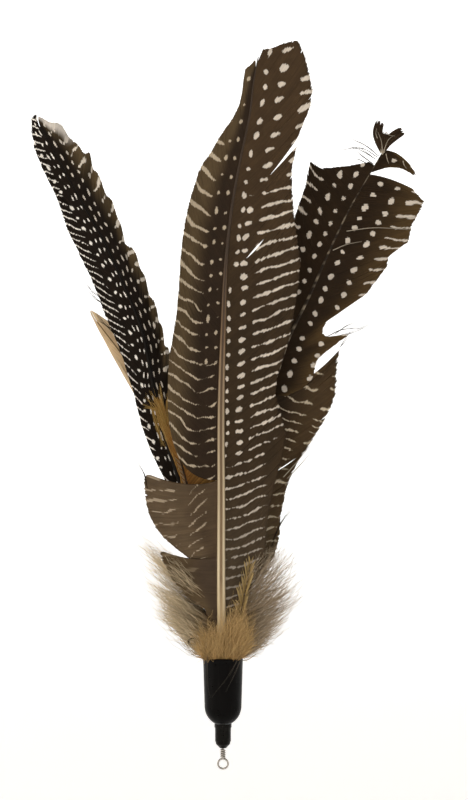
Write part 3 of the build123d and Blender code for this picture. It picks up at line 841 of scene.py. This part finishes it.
class LURE_OT_centre_vanes(bpy.types.Operator):
    """Make the vanes of the large centre feather"""
    bl_idname = "lure.centre_vanes"
    bl_label = "Centre vanes"

    def execute(self, context):
        c = settings().colours
        right_rows, left_rows = dict(period=2.69, stretch=0.000515), dict(period=2.89, stretch=0.000545)
        right = barred("Spotted centre vane", c.centre, c.centre, c.mark, foot="#413526", foot_end=66,
                       foot_contrast=0.42, top=(125, "#3f2f1d"), seed=1.0, layers=[
            dict(right_rows, climb=[(0, 0), (6, 1.2), (12, 3.7), (18, 6.3), (24, 8.8)], wander=0.05, zones=[
                (0, [(0, -0.3), (0.8, 0.1), (3, 0.24), (9, 0.26), (12, 0.2), (14, -0.1), (24, -0.5)]),
                (60, [(0, -1), (3.9, -0.8), (4.7, 0.25), (5.5, 0.52), (6.3, 0.4), (7.1, -0.4), (7.9, -0.4),
                      (8.9, 0.28), (14, 0.29), (20, 0.24), (24, 0.18)]),
                (140, [(0, -1), (6.0, -0.9), (6.9, 0.1), (7.9, 0.5), (9.2, 0.25), (10.6, -0.5), (13, -0.4),
                       (14.5, 0.36), (18, 0.42), (24, 0.3)]),
            ]),
            dict(right_rows, climb=[(0, 0), (24, 2)], zones=[
                (0, [(0, -1), (24, -1)]),
                (58, [(0, -1), (0.9, -0.5), (1.6, 0.62), (2.3, -0.5), (4, -1), (24, -1)]),
                (112, [(0, -1), (2, -0.6), (3.0, 0.55), (4, -0.6), (6, -1), (24, -1)]),
            ]),
        ])
        upper = barred("Barred centre vane", "#281c10", "#4e3f2a", "#ae9f88", foot="#271c10", foot_end=80,
                       seed=5.0, layers=[
            dict(left_rows, climb=[(0, 0), (3, -1.2), (6, -1.8), (9, -0.8), (14, 2.6), (24, 9)], zones=[
                (0, [(0, -0.5), (1.5, 0), (3, 0.24), (6, 0.05), (10, 0.24), (15, 0.3), (24, 0.2)]),
                (92, [(0, -1), (5, -0.5), (6.6, 0.1), (10, 0.26), (14, 0.3), (24, 0.2)]),
                (122, [(0, -1), (5, -0.4), (6.5, 0.3), (10, 0.36), (24, 0.3)]),
            ]),
            dict(left_rows, climb=[(0, 0), (24, -4)], breaks=0.35, zones=[
                (0, [(0, -1), (24, -1)]),
                (84, [(0, -1), (1.0, -0.4), (1.8, 0.35), (2.6, -0.5), (3.6, -0.4), (4.4, 0.4), (5.2, -0.6),
                      (8, -1), (24, -1)]),
            ]),
        ])
        faint = barred("Faint centre vane", "#4a3b2a", "#594936", "#ad9c84", seed=9.0, contrast=0.75, layers=[
            dict(period=3.4, climb=[(0, 0), (6, -3), (12, -8), (18, -9), (24, -9)], zones=[
                (0, [(0, -0.8), (3, -0.4), (5, 0.15), (9, 0.25), (11, -0.2), (13, 0.1), (18, 0.3),
                     (24, 0.4)])]),
        ])
        dusky = barred("Dusky centre vane", "#46382a", "#54442f", "#a08e74", seed=10.0, contrast=0.3, layers=[
            dict(period=5.2, climb=[(0, 0), (8, -2), (24, -4)], zones=[
                (0, [(0, -0.8), (5, -0.2), (9, 0.5), (24, 0.2)])]),
        ])
        for part, side, guides, material, seed, options in [
            ("right", 1, CENTRE_RIGHT, right, 11,
             dict(splits=[(133, 3.1, 0.45, 1), (113.5, 1.4, 0.25, 0.62), (60, 0.5, 0.7, 1)])),
            ("left_upper", -1, CENTRE_LEFT_UPPER, upper, 12, dict(reach=0.55, loose=0.02)),
            ("left_middle", -1, CENTRE_LEFT_MIDDLE, faint, 13, dict(loose=0.05)),
            ("left_base", -1, CENTRE_LEFT_BASE, dusky, 14, dict(ragged=0.04)),
        ]:
            vane("centre_barbs_" + part, CENTRE, side, guides, material, "vane_spotted",
                 "centre_vane_" + part, seed, **options)
        return {"FINISHED"}


class LURE_OT_left_vanes(bpy.types.Operator):
    """Make the vanes of the dark left feather"""
    bl_idname = "lure.left_vanes"
    bl_label = "Left vanes"

    def execute(self, context):
        c = settings().colours
        outer = barred("Dark outer vane", c.left, c.left, c.mark_left, width=16, foot="#241a10", seed=14.0,
                       layers=[
            dict(period=2.85, climb=[(0, 0), (4, 4), (8, 9.5), (16, 24)], wander=0.05, breaks=0.1, share=True,
                 zones=[(0, [(0, -1), (5.8, -0.8), (7.2, 0.08), (10, 0.24), (16, 0.3)])]),
            dict(period=4.3, climb=[(0, 0), (16, 4)], zones=[
                (0, [(0, -1), (2.9, -0.6), (3.6, 0.66), (4.3, -0.5), (5.5, -1), (16, -1)])]),
            dict(period=3.7, climb=[(0, 0), (16, 4)], zones=[
                (0, [(0, -1), (0.6, -0.6), (0.9, 0.8), (1.2, -0.6), (1.75, -0.5), (2.05, 0.7), (2.35, -0.7),
                     (5, -1), (16, -1)])]),
        ])
        inner = barred("Dark inner vane", c.left, "#54452e", "#d3c9ba", width=12, foot="#33291c", seed=18.0,
                       turn=(0.35, 1.0), worn_tip=(161, 0.68, "#cfc6bb"), layers=[
            dict(period=3.6, climb=[(0, 0), (16, 4)], zones=[
                (0, [(0, -1), (0.85, -0.6), (1.2, 0.95), (1.55, -0.6), (2.55, -0.5), (2.95, 0.85),
                     (3.35, -0.7), (6, -1), (12, -1)])]),
            dict(period=4.4, climb=[(0, 0), (5, 3), (7, 3.6), (12, 10)], breaks=0.5, share=True, zones=[
                (0, [(0, -1), (5.2, -0.8), (6.4, 0.7), (8, 0.15), (9.6, 0.8), (12, 0.5)]),
                (130, [(0, -1), (6.4, -0.8), (7.4, 0.4), (8.6, 0.1), (9.8, 0.5), (12, 0.3)])]),
        ])
        vane("left_barbs_outer", LEFT, -1, LEFT_OUTER, outer, "vane_dark", "left_vane_outer", 21, ragged=0.04)
        vane("left_barbs_inner", LEFT, 1, LEFT_INNER, inner, "vane_dark", "left_vane_inner", 22, ripple=0.6,
             scallop=0.05)
        return {"FINISHED"}


class LURE_OT_right_vanes(bpy.types.Operator):
    """Make the vanes, the forked tip and the hooked barbs of the right feather"""
    bl_idname = "lure.right_vanes"
    bl_label = "Right vanes"

    def execute(self, context):
        c = settings().colours
        outer = barred("Right outer vane", c.right, "#4c3a20", c.mark, seed=23.0, turn=(0.3, 1.1), layers=[
            dict(period=4.1, climb=[(0, 0), (4, 0), (10, 0.8), (14, 2.4), (24, 8)], zones=[
                (0, [(0, -1), (2.4, -0.6), (3.2, 0.5), (3.8, 0.85), (4.5, 0.4), (5.4, -0.6), (8, -0.5),
                     (8.8, 0.4), (9.5, 0.85), (10.3, 0.4), (11.2, -0.5), (12.8, -0.4), (14, 0.4), (18, 0.4),
                     (24, 0.35)])]),
        ])
        inner = barred("Right inner vane", c.right, c.right, c.mark, seed=27.0, layers=[
            dict(period=3.95, climb=[(0, 0), (3.2, 0), (7.5, 1.4), (10, 2), (24, 5)], zones=[
                (0, [(0, -1), (2, -0.5), (2.6, 0.4), (3.1, 0.8), (3.8, 0.3), (4.6, -0.6), (6.2, -0.4),
                     (6.9, 0.5), (7.5, 0.8), (8.2, 0.3), (9, -0.6), (10.6, -0.4), (11.6, 0.42), (15, 0.42),
                     (24, 0.3)])]),
        ])
        base = barred("Right base vane", "#2c2013", "#43331f", "#c6b79d", foot="#51432f", seed=31.0,
                      contrast=0.9, foot_contrast=0.5, layers=[
            dict(period=3.6, climb=[(0, 0), (6, 1.5), (12, 2.5), (24, 5)], zones=[
                (0, [(0, -0.5), (2, 0), (6, 0.26), (12, 0.3), (15, -0.2), (17, 0.3), (24, 0.3)])]),
        ])
        vane("right_barbs_inner", RIGHT, -1, RIGHT_INNER, inner, "vane_dark", "right_vane_inner", 31)
        vane("right_barbs_outer", RIGHT, 1, RIGHT_OUTER, outer, "vane_dark", "right_vane_outer", 32)
        vane("right_barbs_base", RIGHT, 1, RIGHT_BASE, base, "vane_dark", "right_vane_base", 33, ragged=0.03,
             splits=[(44, 0.5, 0.6, 1), (51, 0.7, 0.4, 0.95)])
        vane("right_barbs_hooked", RIGHT, 1, RIGHT_TIP, outer, "vane_dark", "right_tip_barbs", 34, pitch=0.25,
             ragged=0.05, cover=2.2, loose=0)
        lobes = [bundle(RIGHT, *lobe) for lobe in [
            ([(48.2, 152.2), (47.3, 155.6), (46.9, 158.6), (47.7, 161.9)], 2.7, 24, 35),
            ([(48.3, 152.2), (48.5, 154.2), (49, 156.4), (49.6, 158.4)], 4.2, 26, 37),
            ([(48.4, 152.2), (49.8, 155.2), (52, 157.4), (54.8, 159.2)], 2.7, 24, 36),
        ]]
        fork = plain_strands("Fork barbs", "#cbbfa9", "#332515", until=0.14)
        barbed("right_barbs_fork", lobes, fork, "vane_dark", "right_tip_tuft")
        return {"FINISHED"}


class LURE_OT_back_vanes(bpy.types.Operator):
    """Make the vanes of the brown feather behind and of the amber one over it"""
    bl_idname = "lure.back_vanes"
    bl_label = "Brown and amber vanes"

    def execute(self, context):
        c = settings().colours
        brown = barred("Brown vane", c.brown, "#cfb692", "#dfcbaa", width=20, seed=41.0, contrast=0.3,
                       layers=[
            dict(period=4.4, climb=[(0, 0), (6, 3), (12, 7), (20, 13)], zones=[
                (0, [(0, -0.5), (2, 0.1), (6, 0.4), (12, 0.4), (20, 0.3)])]),
        ])
        for part, side, guides, seed in (("left", -1, BROWN_LEFT, 41), ("right", 1, BROWN_RIGHT, 42)):
            vane("brown_barbs_" + part, BROWN, side, guides, brown, "vane_brown", "brown_vane_" + part, seed,
                 ragged=0.01, loose=0)

        # The amber feather is nearly bare at its foot on the left, and ragged towards its tip.
        amber = plain_strands("Amber barbs", "#7d5222", c.amber, 0.6)
        left, right = dict(ragged=0.3, loose=0.6), dict(ragged=0.3, loose=0.6, pitch=0.3)
        barbed("amber_barbs_left", [
            comb(AMBER, -1, [g for g in AMBER_LEFT if g[0] < 60], 43, pitch=1.5, cover=0.2, **left),
            comb(AMBER, -1, [g for g in AMBER_LEFT if g[0] > 58], 45, pitch=0.22, cover=1.3, **left),
        ], amber, "vane_brown", "amber_vane_left")
        barbed("amber_barbs_right", [
            comb(AMBER, 1, [g for g in AMBER_RIGHT if g[0] > 50], 44, **right),
            comb(AMBER, 1, [g for g in AMBER_RIGHT if g[0] < 55], 46, ragged=0.05),
        ], amber, "vane_brown", "amber_vane_right")
        return {"FINISHED"}


def bundle(feather, path, width, count, seed):
    """Barbs that run side by side along one smooth path of (x, height) points on a sheet."""
    fullest, spread, tip_mark = 0.62, 0.25, 150      # tip_mark: how far up the vane's marks are read
    rng = np.random.default_rng(seed)
    points = np.array(path, float)
    t = np.linspace(0, 1, settings().barbs.steps)
    grid = np.linspace(0, 1, len(points))
    where = t[None, :] * rng.uniform(0.9, 1.0, count)[:, None]
    x, height = (through(grid, points[:, i], where) for i in (0, 1))
    way = np.arctan2(np.gradient(x, axis=1), np.gradient(height, axis=1))
    swell = np.sin(np.pi * (0.06 + fullest * where)) * (np.linspace(-0.5, 0.5, count) * width)[:, None]
    x, height = x + np.cos(way) * swell, height - np.sin(way) * swell
    depth = feather.depth(x, height) + rng.uniform(-spread, spread, count)[:, None] * where
    strand = per_thread(rng.random(count), len(t))
    return np.stack([x, depth, MOUTH + height], -1), {
        "facing": feather.facing(x, height),
        "girth": per_step(np.clip(1.4 - t, 0.5, 1), count),
        "along": tip_mark + where * 9,
        "across": np.abs(swell) * 2.5 + 1,
        "out": per_step(t, count),
        "strand": strand,
        "sheaf": strand,
    }


# ---- down and loose hairs ---------------------------------------------------------------------
def tufts(roots, tips, count, depths, seed, sunk=(-3, 3), spread=1.6, bend=0.35, short=0.55, curl=1.0):
    """Down as tufts of wavy strands between a line of roots and a line of tips.

    roots and tips: (x, height) points from the lowest to the highest; depths: the nearest and the
    furthest y that the tufts reach, and sunk that of their roots."""
    root_reach = 5.5            # mm from the cap's axis, inside its mouth, that the roots keep within
    wavelength = 12             # mm of strand to one wave, before it varies
    steps = 12
    down = settings().down
    rng = np.random.default_rng(seed)
    roots, tips = np.array(roots, float), np.array(tips, float)
    place = np.sort(rng.random(count))
    base, end = (np.stack([np.interp(place, np.linspace(0, 1, len(line)), line[:, i]) for i in (0, 1)], -1)
                 for line in (roots, tips))
    end = base + (end - base) * rng.uniform(short, 1.0, count)[:, None]
    reach = rng.uniform(depths[0], depths[1], count)
    total = count * down.tuft
    pick = np.repeat(np.arange(count), down.tuft)
    t = np.linspace(0, 1, steps)
    start = base[pick] + rng.normal(0, 0.4, (total, 2))
    stop = end[pick] + rng.normal(0, spread, (total, 2))
    stop = start + (stop - start) * rng.uniform(0.75, 1.05, total)[:, None]
    span = stop - start
    size = np.linalg.norm(span, axis=1)
    middle = (start + stop) / 2 + np.array([0, 1]) * (-bend * np.abs(span[:, 0]))[:, None]
    middle += rng.normal(0, 0.08, (total, 2)) * size[:, None]
    wave = rng.uniform(1.0, 2.6, total)[:, None] * size[:, None] / wavelength
    phase = rng.uniform(0, 2 * np.pi, total)[:, None]
    swing = np.sin(2 * np.pi * wave * t + phase) - np.sin(phase)
    swing *= down.curl / MM * curl * rng.uniform(0.2, 0.8, total)[:, None] * t
    normal = np.stack([-span[:, 1], span[:, 0]], -1) / size[:, None]
    line = arc(start, middle, stop, t) + normal[:, None, :] * swing[:, :, None]
    foot = rng.uniform(sunk[0], sunk[1], count)[pick]
    inside = np.sqrt(np.clip(root_reach ** 2 - start[:, 0] ** 2, 0, None))
    foot = np.clip(foot, -inside, inside)
    reach = reach[pick] * rng.uniform(0.85, 1.1, total)
    deep = foot[:, None] + (reach - foot)[:, None] * np.sin(np.pi * 0.5 * t)
    deep += rng.normal(0, 0.25, total)[:, None] * t + 0.3 * np.cos(2 * np.pi * wave * t + phase) * t
    strand = per_thread(rng.random(total), steps)
    return np.stack([line[..., 0], deep, MOUTH + line[..., 1]], -1), {
        "facing": np.repeat(rng.normal(0, 1, (total, 1, 3)), steps, 1),
        "girth": per_step(np.clip(1.25 - 0.95 * t, 0.3, 1), total),
        "out": per_step(t, total),
        "strand": strand,
    }


class LURE_OT_down(bpy.types.Operator):
    """Make the down that fans out over the cap's mouth and the golden plume in front"""
    bl_idname = "lure.down"
    bl_label = "Down"

    def execute(self, context):
        c, size = settings().colours, settings().down.strand
        pale = plain_strands("Pale down", c.down_shade, c.down, 0.85)
        tan = plain_strands("Tan down", "#7c6341", "#c2b096", 0.8)
        gold = plain_strands("Golden down", "#a3804f", c.golden, 0.5)
        left_roots = [(-4.4, 0.4), (-4, 3), (-3, 8), (-2.5, 14), (-2.5, 19)]
        left_tips = [(-7.4, 5.6), (-10.4, 7.8), (-15.4, 10.4), (-21.4, 14.4), (-21.6, 18.4), (-24, 23),
                     (-26.8, 27), (-25.6, 30.4), (-27.4, 36.5), (-23, 34), (-18, 29)]
        right_roots = [(-x, h) for x, h in left_roots]
        right_tips = [(8.5, 4), (12, 5.6), (16, 8), (20, 12), (22.5, 16), (24.2, 21), (24.5, 26), (23, 32.5),
                      (19, 34), (14, 33)]
        front_roots = [(-5.2, 0.3), (-3, -0.2), (3, -0.2), (5.2, 0.3)]
        front_tips = [(-7.4, 5), (-8.4, 9), (-6, 13), (-2, 13), (1, 14), (4, 17.5), (8, 15), (9.4, 10),
                      (7.4, 5)]
        back_roots = [(-3, 0.3), (3, 0.3)]
        back_tips = [(-15, 6), (-18, 20), (-12, 33), (0, 35), (12, 33), (18, 20), (15, 6)]
        for name, roots, tips, count, depths, seed, material, options in [
            ("left", left_roots, left_tips, 150, (-6.5, 4), 51, pale, dict(short=0.6, bend=0.04)),
            ("right", right_roots, right_tips, 140, (-6.5, 4), 52, tan, dict(short=0.6, bend=0.16)),
            ("front", front_roots, front_tips, 130, (-7.5, -5.2), 53, gold,
             dict(sunk=(-4.9, -4.2), spread=1.5, short=0.32, bend=0, curl=1.5)),
            ("back", back_roots, back_tips, 60, (4, 10), 54, tan, {}),
        ]:
            threads, values = tufts(roots, tips, count, depths, seed, **options)
            seated(swept(name + "_fluff", threads, values, size, size, 3, material), "down", "down_" + name)
        plume = plain_strands("Plume barbs", "#8f7648", "#b39a68", 0.7)
        halves = [comb(PLUME, side, guides, seed, pitch=0.3, ragged=0.5, cover=0.35, loose=1.2)
                  for side, guides, seed in ((-1, PLUME_LEFT, 55), (1, PLUME_RIGHT, 56))]
        seated(swept("plume_barbs", *joined(halves), 0.2 * MM, 0.12 * MM, 3, plume), "down", "golden_plume")
        return {"FINISHED"}


# Lines of (x, height) that single loose barbs follow, by the feather whose sheet they leave.
DARK_WISPS = [
    (RIGHT, [[(47.2, 151.2), (43.3, 154.3), (39.4, 156.1)], [(46.9, 150.8), (42, 153.6), (35.5, 152.9)],
        [(46.3, 150.2), (41.4, 153.3), (37.8, 153.6)], [(45.6, 148.8), (42, 151.4), (39.1, 153.3)],
        [(45.3, 148.0), (41.4, 150), (38.7, 150.7)], [(30.9, 95.8), (38.7, 97.4), (45.6, 100.8)],
        [(33.8, 97.1), (37.4, 99.7), (40.7, 101)], [(35.4, 93.2), (36.8, 95.4), (38.2, 97.6)],
        [(31.5, 96.4), (36, 98.4), (42.6, 99.4)]]),
    (LEFT, [[(-36, 107.4), (-39.3, 110), (-41.6, 112.3)], [(-36.4, 106.4), (-38.7, 108.1), (-41, 111)],
        [(-32.4, 96.6), (-35.1, 99.6), (-37.7, 101.2)], [(-33, 98.2), (-35.8, 100.4), (-38.6, 103.4)]]),
    (CENTRE, [[(-22.4, 51), (-23.4, 55.4), (-25.4, 58.6)]]),
    (RIGHT, [[(14.6, 33), (17, 39), (19.8, 44.2)], [(15, 35), (17.4, 40), (20.2, 43.6)]]),
]
PALE_WISPS = [
    (RIGHT, [[(18.2, 54), (22.4, 58.6), (26.4, 63.6)], [(19.4, 53.6), (23.6, 58), (27.4, 62.6)],
        [(37.4, 128.3), (46, 129.4), (56.4, 128.8)], [(33.2, 122.5), (37.4, 124.2), (42, 125.1)],
        [(48.3, 151.6), (48, 155.4), (46.9, 158.6)], [(48.4, 151.8), (50, 156), (52.2, 157.6)],
        [(49.4, 151.9), (49.8, 150.2), (50.2, 148.8)], [(54.6, 149.8), (55, 148.6), (55.8, 147.5)],
        [(46.8, 156.6), (46.3, 158), (46.6, 159.6)], [(49.3, 158.6), (50.4, 157.6), (52.2, 157.2)]]),
]
GOLDEN_WISPS = [
    (AMBER, [[(-17.4, 70), (-20.4, 75), (-23, 78.2)], [(-17, 70), (-19.6, 76), (-21.4, 79.8)],
        [(-16.6, 69), (-18.2, 76), (-19, 81)], [(-16.2, 69), (-16.6, 75), (-16.4, 80)],
        [(-15.6, 69), (-15.2, 74), (-14.4, 78)], [(-20.6, 76.4), (-18.8, 70.5), (-16.4, 64.6)],
        [(-21.6, 76), (-19.6, 69.4), (-17.4, 63.4)], [(-19.8, 77), (-18, 71.5), (-15.4, 66.4)],
        [(-18.4, 73), (-21, 74.4), (-23.6, 75.4)]]),
]
STRAY_WISPS = [
    (CENTRE, [[(5.0, 1.2), (1.4, -5), (-4, -11.4)], [(5.6, 0.8), (3.4, -4.4), (0.4, -9.8)],
        [(-4.6, 1), (-4.9, -5.6), (-4.4, -11)]]),
]
CURL = [(-6.2, 3.6), (-8.5, 6.2), (-10.4, 5.1), (-9.3, 4.1), (-8.2, 4.6)]


def wisps(groups, forward, seed, twins, stray):
    """Loose barbs: each line is drawn as a few thin threads that part towards the end."""
    rng = np.random.default_rng(seed)
    t = np.linspace(0, 1, 16)
    threads = []
    for feather, line in [(feather, line) for feather, lines in groups for line in lines]:
        points = np.array(line, float)
        grid = np.linspace(0, 1, len(points))
        for _ in range(twins):
            strayed = points + rng.normal(0, stray, points.shape) * grid[:, None]
            x, height = (through(grid, strayed[:, i], t) for i in (0, 1))
            depth = feather.depth(x, height) - forward + rng.uniform(-0.4, 0.4) * t
            threads.append(np.stack([x, depth, MOUTH + height], -1))
    count = len(threads)
    return np.array(threads), {
        "facing": np.repeat(rng.normal(0, 1, (count, 1, 3)), len(t), 1),
        "girth": per_step(np.clip(1.2 - t, 0.25, 1), count),
        "out": per_step(t, count),
        "strand": per_thread(rng.random(count), len(t)),
    }


class LURE_OT_hairs(bpy.types.Operator):
    """Make the loose barbs that stand away from the vanes and the curl beside the cap"""
    bl_idname = "lure.hairs"
    bl_label = "Loose barbs"

    def execute(self, context):
        dark = plain_strands("Loose dark barbs", "#1c1208", "#3a2c1c")
        # The pale loose barbs are partly painted highlight: their pale colour also stands in for light on the
        # edges of barbs that have parted.
        pale = plain_strands("Loose pale barbs", "#b7ab97", "#8d8272")
        gold = plain_strands("Loose golden barbs", "#8a6a35", "#a98a4e", 0.5)
        stray = plain_strands("Stray down", "#4f483d", "#3b3730")
        for name, groups, forward, seed, twins, spread, thick, material, slot in [
            ("loose_dark_barbs", DARK_WISPS, 0.2, 61, 3, 0.35, 0.24, dark, "vane_dark"),
            ("curled_barb", [(CENTRE, [CURL])], 2.0, 63, 7, 0.5, 0.22, dark, "vane_dark"),
            ("loose_pale_barbs", PALE_WISPS, 0.5, 64, 3, 0.12, 0.28, pale, "vane_dark"),
            ("loose_golden_barbs", GOLDEN_WISPS, 2.2, 62, 9, 0.6, 0.2, gold, "vane_brown"),
            ("stray_down", STRAY_WISPS, 4.0, 65, 2, 0.3, 0.12, stray, "down"),
        ]:
            threads, values = wisps(groups, forward, seed, twins, spread)
            seated(swept(name, threads, values, thick * MM, thick * MM * 0.7, 3, material), slot)
        return {"FINISHED"}


# ---- stage ------------------------------------------------------------------------------------
class LURE_OT_stage(bpy.types.Operator):
    """Set up the paper sweep, the lights and the camera"""
    bl_idname = "lure.stage"
    bl_label = "Stage"

    def execute(self, context):
        stage = settings().stage
        floor = CAD_BOX[0].z - stage.drop
        bend, wall, top, around = 0.4, 2.0, 0.9, 96
        cove = [(wall - bend + bend * math.sin(a), floor + bend - bend * math.cos(a))
                for a in np.linspace(0, math.pi / 2, 16)]
        profile = [(0.0, floor), (0.8, floor), *cove, (wall, top)]
        turns = [2 * math.pi * i / around for i in range(around)]
        points = [(r * math.cos(a), r * math.sin(a), z) for r, z in profile for a in turns]
        faces = [(i * around + j, (i + 1) * around + j, (i + 1) * around + (j + 1) % around,
                  i * around + (j + 1) % around) for i in range(len(profile) - 1) for j in range(around)]
        mesh = bpy.data.meshes.new("sweep")
        mesh.from_pydata(points, [], faces)
        mesh.shade_smooth()

        # The paper glows a little more further out, as it does under lights of its own.
        paper, tree = surface("Matt white paper")
        flat = add(tree, "ShaderNodeVectorMath", add(tree, "ShaderNodeTexCoord")["Object"], (1, 1, 0),
                   operation="MULTIPLY")
        away = add(tree, "ShaderNodeVectorMath", flat, operation="LENGTH")
        finish(tree, Base_Color=stage.backdrop, Emission_Color=stage.backdrop, Roughness=0.9, IOR=1.5,
               Specular_IOR_Level=0.1,
               Emission_Strength=add(tree, "ShaderNodeMapRange", away, 0.15, 0.9, 0.36, stage.glow))
        mesh.materials.append(paper)
        placed("paper_sweep", mesh)

        world = bpy.data.worlds.new("Studio")
        world.use_nodes = True
        sky = world.node_tree.nodes["Background"].inputs
        sky["Color"].default_value = srgb("#fff9f0")
        sky["Strength"].default_value = stage.sky
        context.scene.world = world
        middle = Vector((0, 0, (CAD_BOX[0].z + CAD_BOX[1].z) / 2))
        for name, place, size, power in [("key", (-0.35, -0.6, 1.15), 0.9, stage.key),
                                         ("fill", (-1.1, -0.35, 0.2), 0.5, stage.fill)]:
            light = bpy.data.lights.new(name, "AREA")
            light.size, light.energy = size, power
            light.color = srgb("#fff6ea")[:3]
            lamp = bpy.data.objects.new(name, light)
            lamp.location = place
            lamp.rotation_euler = (middle - lamp.location).to_track_quat("-Z", "Y").to_euler()
            context.scene.collection.objects.link(lamp)

        view = bpy.data.cameras.new("view")
        view.lens, view.sensor_width = 105, 36
        view.clip_start, view.clip_end = 0.01, 20
        camera = bpy.data.objects.new("view", view)
        camera.location = (0.0033, -0.7, 0.1091)
        camera.rotation_euler = (math.pi / 2, 0, 0)
        context.scene.collection.objects.link(camera)
        context.scene.camera = camera
        context.scene.view_settings.view_transform = "Standard"
        return {"FINISHED"}


class LURE_PT_panel(bpy.types.Panel):
    """The lure's settings and the buttons that make its pieces"""
    bl_idname = "LURE_PT_panel"
    bl_label = "Feather lure"
    bl_space_type = "VIEW_3D"
    bl_region_type = "UI"
    bl_category = "Lure"

    def draw(self, context):
        for group in ("barbs", "down", "colours", "stage"):
            box = self.layout.box()
            box.label(text=group.capitalize())
            values = getattr(settings(), group)
            for name in values.bl_rna.properties.keys():
                if name not in ("rna_type", "name"):
                    box.prop(values, name)
        for operator in OPERATORS:
            self.layout.operator(operator.bl_idname)


OPERATORS = [
    LURE_OT_hardware, LURE_OT_quills, LURE_OT_centre_vanes, LURE_OT_left_vanes, LURE_OT_right_vanes,
    LURE_OT_back_vanes, LURE_OT_down, LURE_OT_hairs, LURE_OT_stage,
]
CLASSES = [LureBarbs, LureDown, LureColours, LureStage, LureSettings, *OPERATORS, LURE_PT_panel]


def register():
    for cls in CLASSES:
        bpy.utils.register_class(cls)
    bpy.types.Scene.lure = PointerProperty(type=LureSettings)


def unregister():
    del bpy.types.Scene.lure
    for cls in reversed(CLASSES):
        bpy.utils.unregister_class(cls)


def main():
    register()
    for operator in OPERATORS:
        group, name = operator.bl_idname.split(".")
        getattr(getattr(bpy.ops, group), name)()


if __name__ == "__main__":
    main()
